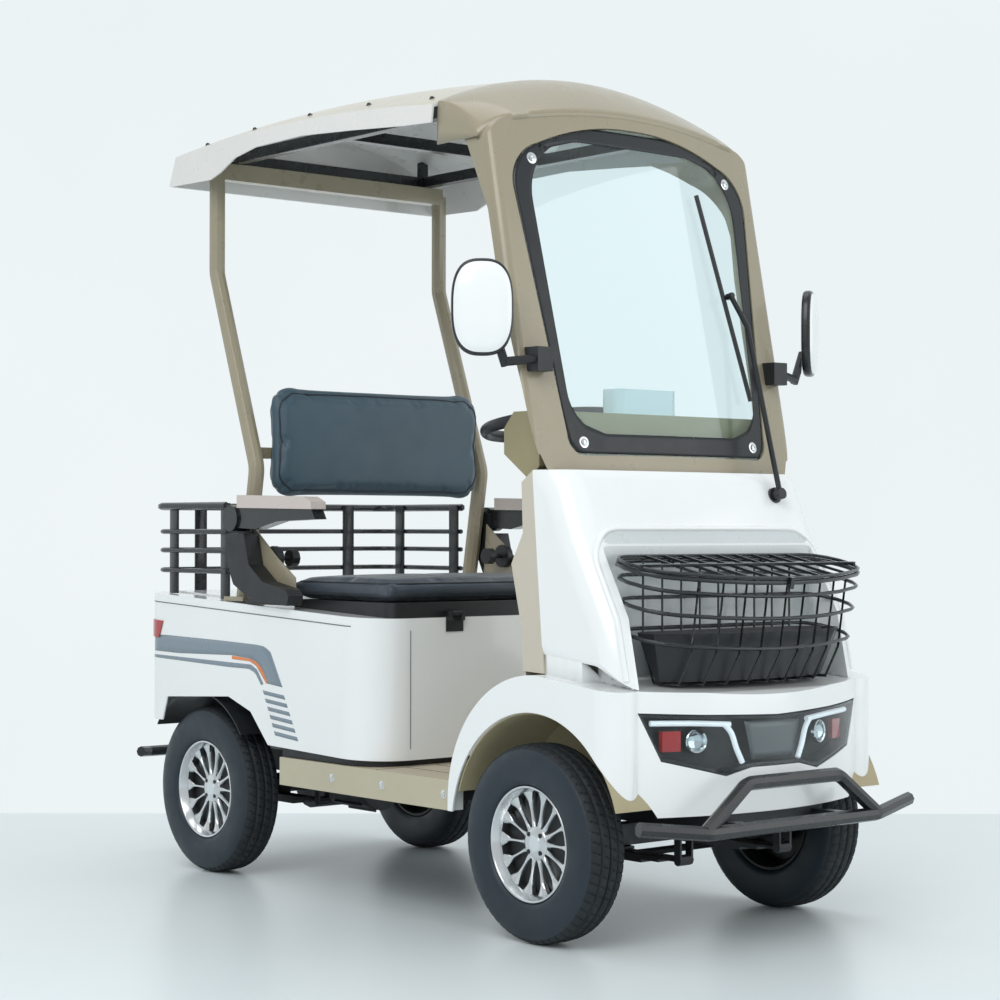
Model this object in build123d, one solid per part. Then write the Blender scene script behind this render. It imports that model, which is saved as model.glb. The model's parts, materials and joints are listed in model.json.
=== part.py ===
from build123d import *
from math import atan2, cos, degrees, radians, sin, sqrt
import os

# Two-seat electric golf cart with a rigid canopy, in millimetres.
# Origin on the ground midway between the axles, +Z up, the front faces -Y, +X is the cart's left.

# Driving dimensions
WHEELBASE = 1200.0
TYRE_R = 195.0
TYRE_W = 100.0
RIM_R = 114.0
TRACK_FRONT = 672.0
TRACK_REAR = 625.0
OVERALL_LENGTH = 1940.0
BODY_HALF = 378.0
CLEAR = 0.3

# Panels
SKIN = 4.0
GLASS_T = 5.0

# Floor and frame heights
FLOOR_Z = 298.0
SILL_BOTTOM_Z = 236.0
DECK_T = 14.0
RAIL_W = 40.0
RAIL_H = 50.0
RAIL_X = 140.0
AXLE_Z = TYRE_R
RAIL_TOP_Z = FLOOR_Z - DECK_T - 6.0

# Seat box and rear body
BOX_FRONT_Y = -86.0
BOX_CORNER_R = 105.0
BODY_REAR_Y = 838.0
BODY_REAR_R = 70.0
BODY_BOTTOM_Z = 318.0
BODY_TOP_FRONT_Z = 616.0
BODY_TOP_REAR_Z = 656.0
REAR_PANEL_BOTTOM_Z = 350.0

# Steering
STEER_LOCK = 28.0
STEER_RATIO = 9.0
KINGPIN_X = TRACK_FRONT / 2 - 45.0
KINGPIN_R = 8.0
RUN_GAP = 0.05
WHEEL_PIN_R = 9.0

# Canopy
SCREEN_TILT = 11.3
SCREEN_FOOT_Y = -626.0
SCREEN_FOOT_Z = 926.0
SCREEN_HALF = 326.0
SCREEN_BOTTOM_Z = 956.0
SCREEN_TOP_Z = 1642.0
SCREEN_R = 3000.0
CANOPY_HALF = 375.0
ROOF_JOINT_Y = -315.0
ROOF_HALF = 392.0
ROOF_EDGE_Z = 1712.0
ROOF_CROWN_Z = 1802.0
ROOF_LONG_R = 5000.0
ROOF_PEAK_Y = 250.0
ROOF_REAR_Y = 672.0
ROOF_SKIRT_Z = 1624.0

# Seat
SEAT_HALF = 322.0
SEAT_FRONT_Y = -80.0
SEAT_REAR_Y = 300.0
CUSHION_T = 56.0
BACK_HALF = 306.0
BACK_BOTTOM_Z = 880.0
BACK_TOP_Z = 1142.0
BACK_FRONT_Y = 366.0
BACK_T = 62.0

# Rear posts
POST_X = 334.0
POST_R = 19.0
POST_FOOT_Y = 464.0
POST_TOP_Y = 582.0
POST_TOP_Z = 1655.0

AXLE_F_Y = -WHEELBASE / 2
AXLE_R_Y = WHEELBASE / 2

os.makedirs("parts", exist_ok=True)
SIDES = (("R", -1), ("L", 1))


def block(x0, x1, y0, y1, z0, z1):
    """An axis-aligned block between two corners."""
    size = Box(x1 - x0, y1 - y0, z1 - z0)
    return Pos((x0 + x1) / 2, (y0 + y1) / 2, (z0 + z1) / 2) * size


def side_prism(points, x0, x1):
    """A polygon of (y, z) points in side view, extruded from x0 to x1."""
    wire = Polyline(*[(x0, y, z) for y, z in points], close=True)
    return extrude(make_face(wire), amount=x1 - x0, dir=(1, 0, 0))


def plan_prism(points, z0, z1):
    """A polygon of (x, y) points in plan, extruded from z0 to z1."""
    wire = Polyline(*[(x, y, z0) for x, y in points], close=True)
    return extrude(make_face(wire), amount=z1 - z0, dir=(0, 0, 1))


def both(shape):
    """The shape and its mirror image across the centre plane."""
    return Compound([*shape.solids(), *mirror(shape, about=Plane.YZ).solids()])


def disc(r, sides=0):
    """A round section, or a polygon with a few flats where the bar is thin."""
    return RegularPolygon(r, sides) if sides else Circle(r)


def rod(start, end, r, sides=8):
    """A straight bar between two points."""
    a = Vector(*start)
    b = Vector(*end)
    plane = Plane(origin=a, z_dir=(b - a).normalized())
    return extrude(plane * disc(r, sides), amount=(b - a).length)


def pipe(points, r, bend, sides=8):
    """A bar bent along points, with mitred corners where the bend is 0."""
    if bend:
        path = FilletPolyline(*points, radius=bend)
        start = Plane(origin=path @ 0, z_dir=path % 0)
        return sweep(start * disc(r, sides), path=path)
    path = Polyline(*points)
    start = Plane(origin=path @ 0, z_dir=path % 0)
    return sweep(start * disc(r, sides), path=path, transition=Transition.RIGHT)


def hoop(points, r, sides=6):
    """A closed ring of wire along (x, y) points, which start halfway along a straight run."""
    path = Polyline(*[(x, y, 0) for x, y in points], close=True)
    start = Plane(origin=path @ 0, z_dir=path % 0)
    return sweep(start * RegularPolygon(r, sides), path=path, transition=Transition.RIGHT)


def arc_points(centre, r, start, end, count):
    """Points on an arc between two angles in degrees, with both ends."""
    angles = [radians(start + (end - start) * i / count) for i in range(count + 1)]
    return [(centre[0] + r * cos(a), centre[1] + r * sin(a)) for a in angles]


def axle_cylinder(x0, x1, y, z, r, sides=0):
    """A cylinder along X, or a prism with flats."""
    face = Plane(origin=(min(x0, x1), y, z), x_dir=(0, 1, 0), z_dir=(1, 0, 0)) * disc(r, sides)
    return extrude(face, amount=abs(x1 - x0), dir=(1, 0, 0))


def ring_x(x0, x1, y, z, r_out, r_in):
    return axle_cylinder(x0, x1, y, z, r_out) - axle_cylinder(x0 - 1, x1 + 1, y, z, r_in)


def one(shape):
    """The single solid of a shape, or a compound of its solids."""
    solids = shape.solids()
    return solids[0] if len(solids) == 1 else Compound(list(solids))


NODES = {}


def node(name, *shapes):
    solids = []
    for shape in shapes:
        solids += list(shape.solids())
    NODES[name] = Compound(solids) if len(solids) > 1 else solids[0]


# Chassis frame: two long rails with cross members, all in one plane under the floor
RAIL_BOTTOM_Z = RAIL_TOP_Z - RAIL_H
RAIL_FRONT_Y = -880.0
RAIL_REAR_Y = 800.0


def chassis_frame():
    frame = None
    for _, side in SIDES:
        x = side * RAIL_X
        rail = block(x - RAIL_W / 2, x + RAIL_W / 2, RAIL_FRONT_Y, RAIL_REAR_Y, RAIL_BOTTOM_Z, RAIL_TOP_Z)
        frame = rail if frame is None else frame + rail
    inner = RAIL_X - RAIL_W / 2
    for y in (RAIL_FRONT_Y + 20, -420.0, 0.0, 270.0, RAIL_REAR_Y - 20):
        frame += block(-inner, inner, y - 20, y + 20, RAIL_BOTTOM_Z, RAIL_TOP_Z)
    for y in (-300.0, 0.0, 240.0):
        for _, side in SIDES:
            x0, x1 = sorted((side * (RAIL_X + RAIL_W / 2), side * (SILL_X - SILL_T - 26 - CLEAR)))
            frame += block(x0, x1, y - 15, y + 15, RAIL_TOP_Z - 30, RAIL_TOP_Z)
    # Uprights that carry the cargo base
    for y in (440.0, 770.0):
        for _, side in SIDES:
            x = side * RAIL_X
            top = body_top_z(y - 15) - SKIN - CLEAR
            frame += block(x - 15, x + 15, y - 15, y + 15, RAIL_TOP_Z, top)
    return frame


# Floor: grooved deck boards with a beige sill rail along each side
SILL_X = 372.0
SILL_T = 4.0
SILL_FRONT_Y = -348.0
SILL_REAR_Y = 262.0
WELL_X = 184.0
SLAT_GAP = 5.0
SLAT_REAR_Y = BOX_FRONT_Y - 2
SLAT_COUNT = 9
NOSE_CUT_HALF = 342.3


def floor_deck():
    half = SILL_X - SILL_T - CLEAR
    inner = WELL_X - CLEAR
    front = SHIELD_Y + SHIELD_T + CLEAR
    well_y = ARCH_C[0] + sqrt(ARCH_R ** 2 - (RAIL_TOP_Z - ARCH_C[1]) ** 2) + CLEAR
    fender_y = SILL_FRONT_Y
    fender_x = NOSE_CUT_HALF - CLEAR
    right = [(inner, front), (inner, well_y), (fender_x, well_y), (fender_x, fender_y), (half, fender_y),
             (half, SILL_REAR_Y)]
    outline = right + [(-x, y) for x, y in reversed(right)]
    deck = plan_prism(outline, RAIL_TOP_Z + CLEAR, FLOOR_Z)
    pitch = 2 * half / SLAT_COUNT
    for i in range(1, SLAT_COUNT):
        x = -half + i * pitch
        deck -= block(x - SLAT_GAP / 2, x + SLAT_GAP / 2, front - 1, SLAT_REAR_Y, FLOOR_Z - 4, FLOOR_Z + 1)
    # A cross groove ends the slats in front of the seat box
    return deck - block(-half - 1, half + 1, SLAT_REAR_Y - SLAT_GAP, SLAT_REAR_Y, FLOOR_Z - 4, FLOOR_Z + 1)


def body_plinth():
    """The dark recessed base that the seat box stands on."""
    outer = body_plan(14, FLOOR_Z + CLEAR, BODY_BOTTOM_Z + 30)
    inner = body_plan(34, FLOOR_Z, BODY_BOTTOM_Z + 40)
    cut = block(-400, 400, SILL_REAR_Y, 900, 200, 500)
    lip_cut = body_plan(SKIN + CLEAR, 200, 700)
    return ((outer - inner) & lip_cut) - cut


def floor_sills():
    x1 = SILL_X
    x0 = SILL_X - SILL_T
    web = block(x0, x1, SILL_FRONT_Y, SILL_REAR_Y, SILL_BOTTOM_Z, FLOOR_Z)
    flange = block(x0 - 26, x0, SILL_FRONT_Y, SILL_REAR_Y, SILL_BOTTOM_Z, SILL_BOTTOM_Z + SILL_T)
    cap = block(x0 - 26, x0, SILL_FRONT_Y, SILL_REAR_Y, RAIL_TOP_Z - SILL_T, RAIL_TOP_Z)
    return both(web + flange + cap)


# Front axle: a box beam with a clevis and kingpin at each end
BARREL_H = 60.0
BARREL_R = 17.0
EAR_T = 10.0
BEAM_H = 44.0
BEAM_W = 32.0
BEAM_SETBACK = 48.0


def front_axle():
    ear_z = BARREL_H / 2 + CLEAR
    beam_end = KINGPIN_X - BEAM_SETBACK
    front = AXLE_F_Y - BEAM_W / 2
    rear = AXLE_F_Y + BEAM_W / 2
    axle = block(-beam_end, beam_end, front, rear, AXLE_Z - BEAM_H / 2, AXLE_Z + BEAM_H / 2)
    for _, side in SIDES:
        x0, x1 = sorted((side * (beam_end - 14), side * beam_end))
        axle += block(x0, x1, front, rear, AXLE_Z - ear_z - EAR_T, AXLE_Z + ear_z + EAR_T)
        for low in (AXLE_Z + ear_z, AXLE_Z - ear_z - EAR_T):
            x0, x1 = sorted((side * (beam_end - 14), side * (KINGPIN_X + 12)))
            axle += block(x0, x1, AXLE_F_Y - 16, AXLE_F_Y + 16, low, low + EAR_T)
        pin_h = 2 * (ear_z + EAR_T) - 2
        axle += Pos(side * KINGPIN_X, AXLE_F_Y, AXLE_Z) * Cylinder(KINGPIN_R, pin_h)
    # Spring seats welded on the beam
    for _, side in SIDES:
        x0, x1 = sorted((side * (SPRING_X - 20), side * (SPRING_X + 20)))
        axle += block(x0, x1, AXLE_F_Y - 30, AXLE_F_Y + 30, AXLE_Z - BEAM_H / 2 - 6, AXLE_Z - BEAM_H / 2)
    return axle


# Suspension: a leaf pack on each side of both axles, hung from the rails
SPRING_X = RAIL_X
LEAF_W = 36.0


def leaf_spring(y, seat_z, length, below):
    """A three-leaf pack that arches under or over an axle, with eyes that hang from the rail."""
    top = seat_z if below else seat_z + 18
    leaves = None
    for index, share in enumerate((1.0, 0.72, 0.46)):
        half = length * share / 2
        z = top - 6 * index
        leaf = block(-LEAF_W / 2, LEAF_W / 2, y - half, y + half, z - 6, z)
        leaves = leaf if leaves is None else leaves + leaf
    for end in (-1, 1):
        ye = y + end * length / 2
        leaves += axle_cylinder(-LEAF_W / 2, LEAF_W / 2, ye, top - 3, 11, 8)
        leaves += block(-LEAF_W / 2, -LEAF_W / 2 + 5, ye - 9, ye + 9, top - 3, RAIL_BOTTOM_Z)
        leaves += block(LEAF_W / 2 - 5, LEAF_W / 2, ye - 9, ye + 9, top - 3, RAIL_BOTTOM_Z)
    return Pos(SPRING_X, 0, 0) * leaves


def leaf_springs():
    front = leaf_spring(AXLE_F_Y, AXLE_Z - BEAM_H / 2 - 6, 380.0, True)
    rear = leaf_spring(AXLE_R_Y, AXLE_Z - REAR_TUBE_R, 360.0, True)
    return Compound([*both(front).solids(), *both(rear).solids()])


# Rear axle: a live axle with its differential and drive motor, and the drum backing plates
REAR_TUBE_R = 24.0
DRUM_R = 62.0
DIFF_R = 68.0
MOTOR_R = 58.0


def rear_axle():
    inner_face = TRACK_REAR / 2 - TYRE_W / 2
    axle = axle_cylinder(-inner_face, inner_face, AXLE_R_Y, AXLE_Z, REAR_TUBE_R, 12)
    axle += axle_cylinder(-50, 50, AXLE_R_Y, AXLE_Z, DIFF_R, 16)
    for _, side in SIDES:
        x0, x1 = sorted((side * (inner_face - 4), side * (TRACK_REAR / 2 - 8)))
        axle += axle_cylinder(x0, x1, AXLE_R_Y, AXLE_Z, DRUM_R, 24)
        x0, x1 = sorted((side * inner_face, side * (TRACK_REAR / 2 + HUB_OUT - 8)))
        axle += axle_cylinder(x0, x1, AXLE_R_Y, AXLE_Z, WHEEL_PIN_R)
        x0, x1 = sorted((side * (SPRING_X - 18), side * (SPRING_X + 18)))
        axle += block(x0, x1, AXLE_R_Y - 20, AXLE_R_Y + 20, AXLE_Z - REAR_TUBE_R, AXLE_Z)
    return axle


def drive_motor():
    front = AXLE_R_Y - DIFF_R - CLEAR
    motor = rod((0, front - 156, AXLE_Z), (0, front, AXLE_Z), MOTOR_R, 16)
    for i in range(8):
        fin = Pos(0, front - 78, AXLE_Z) * Rot(0, i * 45, 0) * Pos(0, 0, MOTOR_R + 2) * Box(4, 110, 8)
        motor += fin
    return motor


def battery_pack():
    return block(-150, 150, -30, 230, FLOOR_Z + CLEAR, FLOOR_Z + 190)


# Wheels: a pneumatic tyre on a spoked alloy rim, turned about the X axis at the origin
HUB_OUT = 26.0
HUB_R = 34.0
SPOKES = 14
BEAD_HALF = 42.0
FLANGE_T = 3.7
FLANGE_H = 6.0
RIM_WELL_R = 96.0
TYRE_SIDES = 40


def wheel_plane(x):
    """The plane across the wheel's axis at x."""
    return Plane(origin=(x, 0, 0), x_dir=(0, 1, 0), z_dir=(1, 0, 0))


def tyre_shape():
    """The tyre's half section is given as (radius, distance from the middle plane)."""
    half = TYRE_W / 2
    seat = RIM_R - FLANGE_H + CLEAR
    section = [(RIM_R + 1, BEAD_HALF - FLANGE_T - CLEAR), (RIM_R + 5, half - 6), (RIM_R + 34, half),
               (TYRE_R - 14, half - 7), (TYRE_R - 4, half - 16), (TYRE_R, half - 28)]
    stations = [(r, -x) for r, x in section] + [(r, x) for r, x in reversed(section)]
    flats = [wheel_plane(x) * RegularPolygon(r, TYRE_SIDES) for r, x in stations]
    return loft(flats, ruled=True) - axle_cylinder(-half, half, 0, 0, seat)


def rim_shape():
    """The rim in its own frame: the wheel axis is X and the outer face looks along +X."""
    half = BEAD_HALF
    inner = RIM_WELL_R
    barrel = axle_cylinder(-half, half, 0, 0, RIM_R - FLANGE_H)
    for x in (-half, half - FLANGE_T):
        barrel += axle_cylinder(x, x + FLANGE_T, 0, 0, RIM_R, TYRE_SIDES)
    barrel -= axle_cylinder(-half - 1, half + 1, 0, 0, inner, TYRE_SIDES)
    # The spoked face is one plate with a ring of window cut-outs
    face = RegularPolygon(inner + 2, TYRE_SIDES)
    for i in range(SPOKES):
        window = Polyline((HUB_R + 3, -2.5), (HUB_R + 3, 2.5), (inner - 6, 14.0), (inner - 6, -14.0), close=True)
        face -= Rot(0, 0, i * 360 / SPOKES) * make_face(window)
    plate = extrude(wheel_plane(12) * face, amount=11, dir=(1, 0, 0))
    hub = axle_cylinder(-6, HUB_OUT, 0, 0, HUB_R, 2 * SPOKES)
    return barrel + plate + hub - axle_cylinder(-7, HUB_OUT - 6, 0, 0, WHEEL_PIN_R + RUN_GAP)


# Knuckles: a barrel on the kingpin, the stub axle with its brake drum, and the steering arm
ARM_LENGTH = 90.0
ARM_TOE = 34.0
ARM_T = 12.0
ARM_Z = AXLE_Z - 24.0


def knuckle(side):
    x = side * KINGPIN_X
    barrel = Pos(x, AXLE_F_Y, AXLE_Z) * Cylinder(BARREL_R, BARREL_H)
    x0, x1 = sorted((side * (KINGPIN_X + 10), side * (TRACK_FRONT / 2 + HUB_OUT - 8)))
    stub = axle_cylinder(x0, x1, AXLE_F_Y, AXLE_Z, WHEEL_PIN_R)
    x0, x1 = sorted((side * (KINGPIN_X + 19), side * (TRACK_FRONT / 2 - 8)))
    drum = axle_cylinder(x0, x1, AXLE_F_Y, AXLE_Z, DRUM_R - 6, 24)
    tip = side * (KINGPIN_X - ARM_TOE)
    end = AXLE_F_Y + ARM_LENGTH
    arm = plan_prism([(x - 12, AXLE_F_Y), (x + 12, AXLE_F_Y), (tip + 13, end - 12), (tip + 7, end + 13),
                      (tip - 7, end + 13), (tip - 13, end - 12)], ARM_Z - ARM_T / 2, ARM_Z + ARM_T / 2)
    shape = barrel + stub + drum + arm
    return shape - Pos(x, AXLE_F_Y, AXLE_Z) * Cylinder(KINGPIN_R + RUN_GAP, BARREL_H + 2)


def tie_rod():
    half = KINGPIN_X - ARM_TOE
    y = AXLE_F_Y + ARM_LENGTH
    z_top = ARM_Z - ARM_T / 2 - CLEAR
    rod_z = z_top - 31
    bar = axle_cylinder(-half, half, y, rod_z, 8, 8)
    for _, side in SIDES:
        bar += rod((side * half, y, z_top - 40), (side * half, y, z_top), 13, 8)
    return bar


# Steering column and wheel
STEER_C = (0.0, -247.0, 1035.0)
STEER_R = 165.0
STEER_RIM_R = 14.0
STEER_TILT = 8.0
STEER_SIDES = 28
COLUMN_R = 17.0
HUB_DROP = 46.0


def steering_plane():
    """The plane of the steering wheel, with its normal along the column."""
    normal = (0, sin(radians(STEER_TILT)), cos(radians(STEER_TILT)))
    return Plane(origin=STEER_C, x_dir=(1, 0, 0), z_dir=normal)


def steering_wheel():
    at = steering_plane()
    mid = STEER_R - STEER_RIM_R
    turn = 360 / STEER_SIDES
    corners = arc_points((0, 0), mid, turn / 2, 360 - turn / 2, STEER_SIDES - 1)
    start = (mid * cos(radians(turn / 2)), 0)
    wheel = hoop([start] + corners, STEER_RIM_R)
    wheel += Pos(0, 0, 32 - HUB_DROP) * Cylinder(46, 32)
    for a in (90, 210, 330):
        spoke = Pos(mid / 2 + 6, 0, -14) * Box(mid - 12, 30, 10)
        lift = Pos(mid - 6, 0, -8) * Box(12, 30, 14)
        wheel += Rot(0, 0, a) * (spoke + lift)
    return at.location * wheel


def steering_column():
    """A straight column from the floor, with a wider shroud under the wheel and a boot at its foot."""
    at = steering_plane()
    drop = (STEER_C[2] - FLOOR_Z) / cos(radians(STEER_TILT))
    top = HUB_DROP - 16 + CLEAR
    shroud = at.location * Pos(0, 0, -top - 220) * extrude(RegularPolygon(36, 12), amount=220)
    shaft = at.location * Pos(0, 0, -drop) * extrude(RegularPolygon(COLUMN_R, 12), amount=drop - top)
    foot_y = STEER_C[1] - drop * sin(radians(STEER_TILT))
    faces = [Pos(0, foot_y, FLOOR_Z + CLEAR) * RegularPolygon(48, 12),
             Pos(0, foot_y + 8, FLOOR_Z + 60) * RegularPolygon(24, 12)]
    keep = block(-100, 100, -600, 0, FLOOR_Z + CLEAR, 1100)
    return (shroud + shaft + loft(faces, ruled=True)) & keep


# White nose with the two front fenders
NOSE_R = 650.0
NOSE_FRONT_Y = -908.0
NOSE_SIDE_X = 380.0
NOSE_BOTTOM_Z = 262.0
ARCH_C = (-612.0, 205.0)
ARCH_R = 247.0
FENDER_C = (-620.0, 257.0)
FENDER_R = 268.0
NOSE_TOP_REAR = (-620.0, 525.0)
NOSE_TOP_FRONT = (-885.0, 497.0)


def nose_plan(inset, z0, z1):
    """Plan of the nose: a shallow front arc, round front corners and straight fender sides."""
    side = NOSE_SIDE_X - inset
    front = NOSE_FRONT_Y + inset
    corner_x = 306.0 - inset * 0.5
    corner_y = front + corner_x ** 2 / (2 * NOSE_R)
    edges = [
        Line((-side, -340), (-side, -790 + inset)),
        ThreePointArc((-side, -790 + inset), (-side + 18, -828 + inset * 0.8), (-corner_x, corner_y)),
        ThreePointArc((-corner_x, corner_y), (0, front), (corner_x, corner_y)),
        ThreePointArc((corner_x, corner_y), (side - 18, -828 + inset * 0.8), (side, -790 + inset)),
        Line((side, -790 + inset), (side, -340)),
        Line((side, -340), (-side, -340)),
    ]
    return Pos(0, 0, z0) * extrude(make_face(Wire(edges)), amount=z1 - z0)


def nose_profile(inset):
    """Side view of the nose: the fender's round back, the sloped top and the upright front."""
    r = FENDER_R - inset
    cy, cz = FENDER_C
    diag = r * cos(radians(45))
    x0 = -420.0
    tip_z = 237.0 if inset == 0 else 200.0
    bottom = NOSE_BOTTOM_Z if inset == 0 else 200.0
    front = -960.0 + inset
    edges = [
        Line((x0, cy + r, tip_z), (x0, cy + r, cz)),
        ThreePointArc((x0, cy + r, cz), (x0, cy + diag, cz + diag), (x0, cy, cz + r)),
        Line((x0, cy, cz + r), (x0, NOSE_TOP_FRONT[0], NOSE_TOP_FRONT[1] - inset)),
        Line((x0, NOSE_TOP_FRONT[0], NOSE_TOP_FRONT[1] - inset), (x0, front, 470.0 - inset)),
        Line((x0, front, 470.0 - inset), (x0, front, bottom)),
    ]
    if inset:
        edges.append(Line((x0, front, bottom), (x0, cy + r, tip_z)))
    else:
        edges += Polyline((x0, front, bottom), (x0, -700, bottom), (x0, -700, tip_z), (x0, cy + r, tip_z)).edges()
    return extrude(make_face(Wire(edges)), amount=840, dir=(1, 0, 0))


def nose_shell():
    outer = nose_plan(0, 230, 540) & nose_profile(0)
    inner = nose_plan(SKIN, 200, 540) & nose_profile(SKIN)
    shell = outer - inner
    arches = axle_cylinder(-420, -WELL_X, ARCH_C[0], ARCH_C[1], ARCH_R)
    arches += axle_cylinder(WELL_X, 420, ARCH_C[0], ARCH_C[1], ARCH_R)
    shell -= arches
    shell -= block(-NOSE_CUT_HALF, NOSE_CUT_HALF, -600, -300, 200, 560)
    shell -= block(-NOSE_CUT_HALF, NOSE_CUT_HALF, -700, -590, 500, 560)
    lamp = lamp_prism(-3.0, -990, -700)
    return shell - lamp


# Headlamp: one wide unit across the nose
LAMP_POINTS = ((-302, 458), (-262, 371), (-128, 338), (-66, 352), (66, 352), (128, 338), (262, 371), (302, 458),
               (180, 452), (0, 446), (-180, 452))


def lamp_prism(grow, y0, y1):
    """The lamp's front view outline, extruded along the cart."""
    wire = Polyline(*[(x, y0, z) for x, z in LAMP_POINTS], close=True)
    face = make_face(wire)
    if grow:
        face = offset(face, amount=-grow, kind=Kind.INTERSECTION)
    return extrude(face, amount=y1 - y0, dir=(0, 1, 0))


def headlamp_lens():
    outline = lamp_prism(0, -990, -700)
    skin = nose_plan(1, 300, 500) - nose_plan(5, 290, 510)
    front = block(-400, 400, -990, -760, 300, 500)
    return outline & skin & front


def headlamp_housing():
    """A bowl behind the lens with a thin flange that bears on the back of the nose skin."""
    outline = lamp_prism(0, -990, -700)
    bowl = nose_plan(5 + CLEAR, 300, 500) - nose_plan(50, 290, 510)
    front = block(-400, 400, -990, -760, 300, 500)
    pocket = lamp_prism(5.0, -990, -700) & (nose_plan(0, 300, 500) - nose_plan(44, 290, 510))
    flange = lamp_prism(-11.0, -990, -700) - lamp_prism(4.0, -990, -700)
    flange = flange & (nose_plan(SKIN + CLEAR + 1, 300, 500) - nose_plan(SKIN + 4, 290, 510))
    return ((outline & bowl) - pocket + flange) & front


# Beige wheel wells inside the fenders
WELL_T = 3.0


def wheel_wells():
    r = ARCH_R - CLEAR
    x1 = NOSE_SIDE_X - SKIN - 4
    liner = ring_x(WELL_X, x1, ARCH_C[0], ARCH_C[1], r, r - WELL_T)
    liner += axle_cylinder(WELL_X, WELL_X + WELL_T, ARCH_C[0], ARCH_C[1], r)
    keep = block(0, 420, -900, -300, RAIL_TOP_Z + CLEAR, 560)
    return both(liner & keep)


# White cowl between the nose and the windscreen, with the niche for the basket
COWL_HALF = 348.0
COWL_REAR_TOP_Y = -578.0
COWL_REAR_LOW_Y = -612.0
COWL_POINTS = ((-648.0, 926.0), (-668.0, 905.0), (-712.0, 800.0), (-800.0, 640.0), (-830.0, 500.5))
NICHE_HALF = 296.0
NICHE_BACK_Y = -724.0
NICHE_TOP_Z = 797.0
COWL_T = 5.0


def nose_top_z(y):
    """Height of the nose's sloped top."""
    share = (y - NOSE_TOP_REAR[0]) / (NOSE_TOP_FRONT[0] - NOSE_TOP_REAR[0])
    return NOSE_TOP_REAR[1] + share * (NOSE_TOP_FRONT[1] - NOSE_TOP_REAR[1])


def cowl_solid(inset):
    front = [(y + inset, z) for y, z in COWL_POINTS]
    front[-1] = (COWL_POINTS[-1][0] + inset, nose_top_z(COWL_POINTS[-1][0] + inset))
    if inset:
        front[-1] = (front[-1][0], 480.0)
    rear_low_z = nose_top_z(COWL_REAR_LOW_Y) if not inset else 480.0
    points = front + [(COWL_REAR_LOW_Y, rear_low_z), (COWL_REAR_LOW_Y + 19, 741.0), (COWL_REAR_TOP_Y, 926.0)]
    if inset:
        points = front + [(-500.0, 480.0), (-500.0, 926.0)]
    half = COWL_HALF - inset
    body = side_prism(points, -half, half)
    corners = [e for e in body.edges() if abs(abs(e.center().X) - half) < 1 and e.center().Y < -640 and e.center().Z < 925.5
               and abs((e @ 0).Z - (e @ 1).Z) > 5]
    return fillet(corners, 62 - inset)


def cowl_shell():
    shell = cowl_solid(0) - cowl_solid(COWL_T)
    niche_cut = block(-NICHE_HALF, NICHE_HALF, -900, NICHE_BACK_Y, 470, NICHE_TOP_Z)
    niche_cut = fillet([e for e in niche_cut.edges() if abs(e.center().Z - NICHE_TOP_Z) < 1
                        and abs(abs(e.center().X) - NICHE_HALF) < 1], 36)
    shell -= niche_cut
    t = COWL_T
    tray = block(-NICHE_HALF - t, NICHE_HALF + t, -826, NICHE_BACK_Y + t, 480, NICHE_TOP_Z + t)
    tray = fillet([e for e in tray.edges() if abs(e.center().Z - NICHE_TOP_Z - t) < 1
                   and abs(abs(e.center().X) - NICHE_HALF - t) < 1], 36 + t)
    tray = (tray - niche_cut) & cowl_solid(0)
    return shell + tray


# Beige leg shield behind the cowl, and the dash above it
SHIELD_T = 4.0
SHIELD_Y = COWL_REAR_LOW_Y + 60


def leg_shield():
    t = SHIELD_T
    half = COWL_HALF - COWL_T - 1
    back_y = SHIELD_Y
    panel = block(-half, half, back_y, back_y + t, 456, 905)
    lower = block(-WELL_X + CLEAR, WELL_X - CLEAR, back_y, back_y + t, RAIL_TOP_Z + CLEAR, 456)
    sides = None
    for _, side in SIDES:
        x0, x1 = sorted((side * (COWL_HALF - 1), side * half))
        low_z = nose_top_z(COWL_REAR_LOW_Y) + 2 * CLEAR
        outline = [(COWL_REAR_LOW_Y + CLEAR, low_z), (COWL_REAR_LOW_Y + 19 + CLEAR, 741.0),
                   (COWL_REAR_TOP_Y + CLEAR, 925.0), (back_y + t + 4, 902.0), (back_y + t, 801.0),
                   (-513.0, 740.0), (back_y + t, 599.0), (back_y + t, 529.0)]
        wing = side_prism(outline, x0, x1)
        sides = wing if sides is None else sides + wing
    return panel + lower + sides


def dash_panel():
    t = 4.0
    half = 330.0
    foot_y = SHIELD_Y + SHIELD_T / 2
    outline = [(-578.0, 934.0), (foot_y, 905 + CLEAR), (-470.0, 960.0), (-470.0, 1012.0), (-500.0, 1044.0),
               (-578.0, 1044.0)]
    body = side_prism(outline, -half, half)
    inner = side_prism([(-574.0, 938.0), (foot_y, 911.0), (-475.0, 963.0), (-475.0, 1009.0), (-502.0, 1040.0),
                        (-574.0, 1040.0)], -half + t, half - t)
    return body - inner


def dash_pod():
    pod = block(-110, 60, -570, -510, 1044 + CLEAR, 1096)
    return fillet(pod.edges().filter_by(Axis.Z), 20)


# Canopy front: windscreen surround, A-pillars and header in one moulding
def tilt_plane(offset_out):
    """A plane along the windscreen's slope, moved outward from the glass."""
    tilt = radians(SCREEN_TILT)
    normal = Vector(0, -cos(tilt), sin(tilt))
    origin = Vector(0, SCREEN_FOOT_Y, SCREEN_FOOT_Z) + normal * offset_out
    return Plane(origin=origin, x_dir=(1, 0, 0), z_dir=normal)


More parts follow.
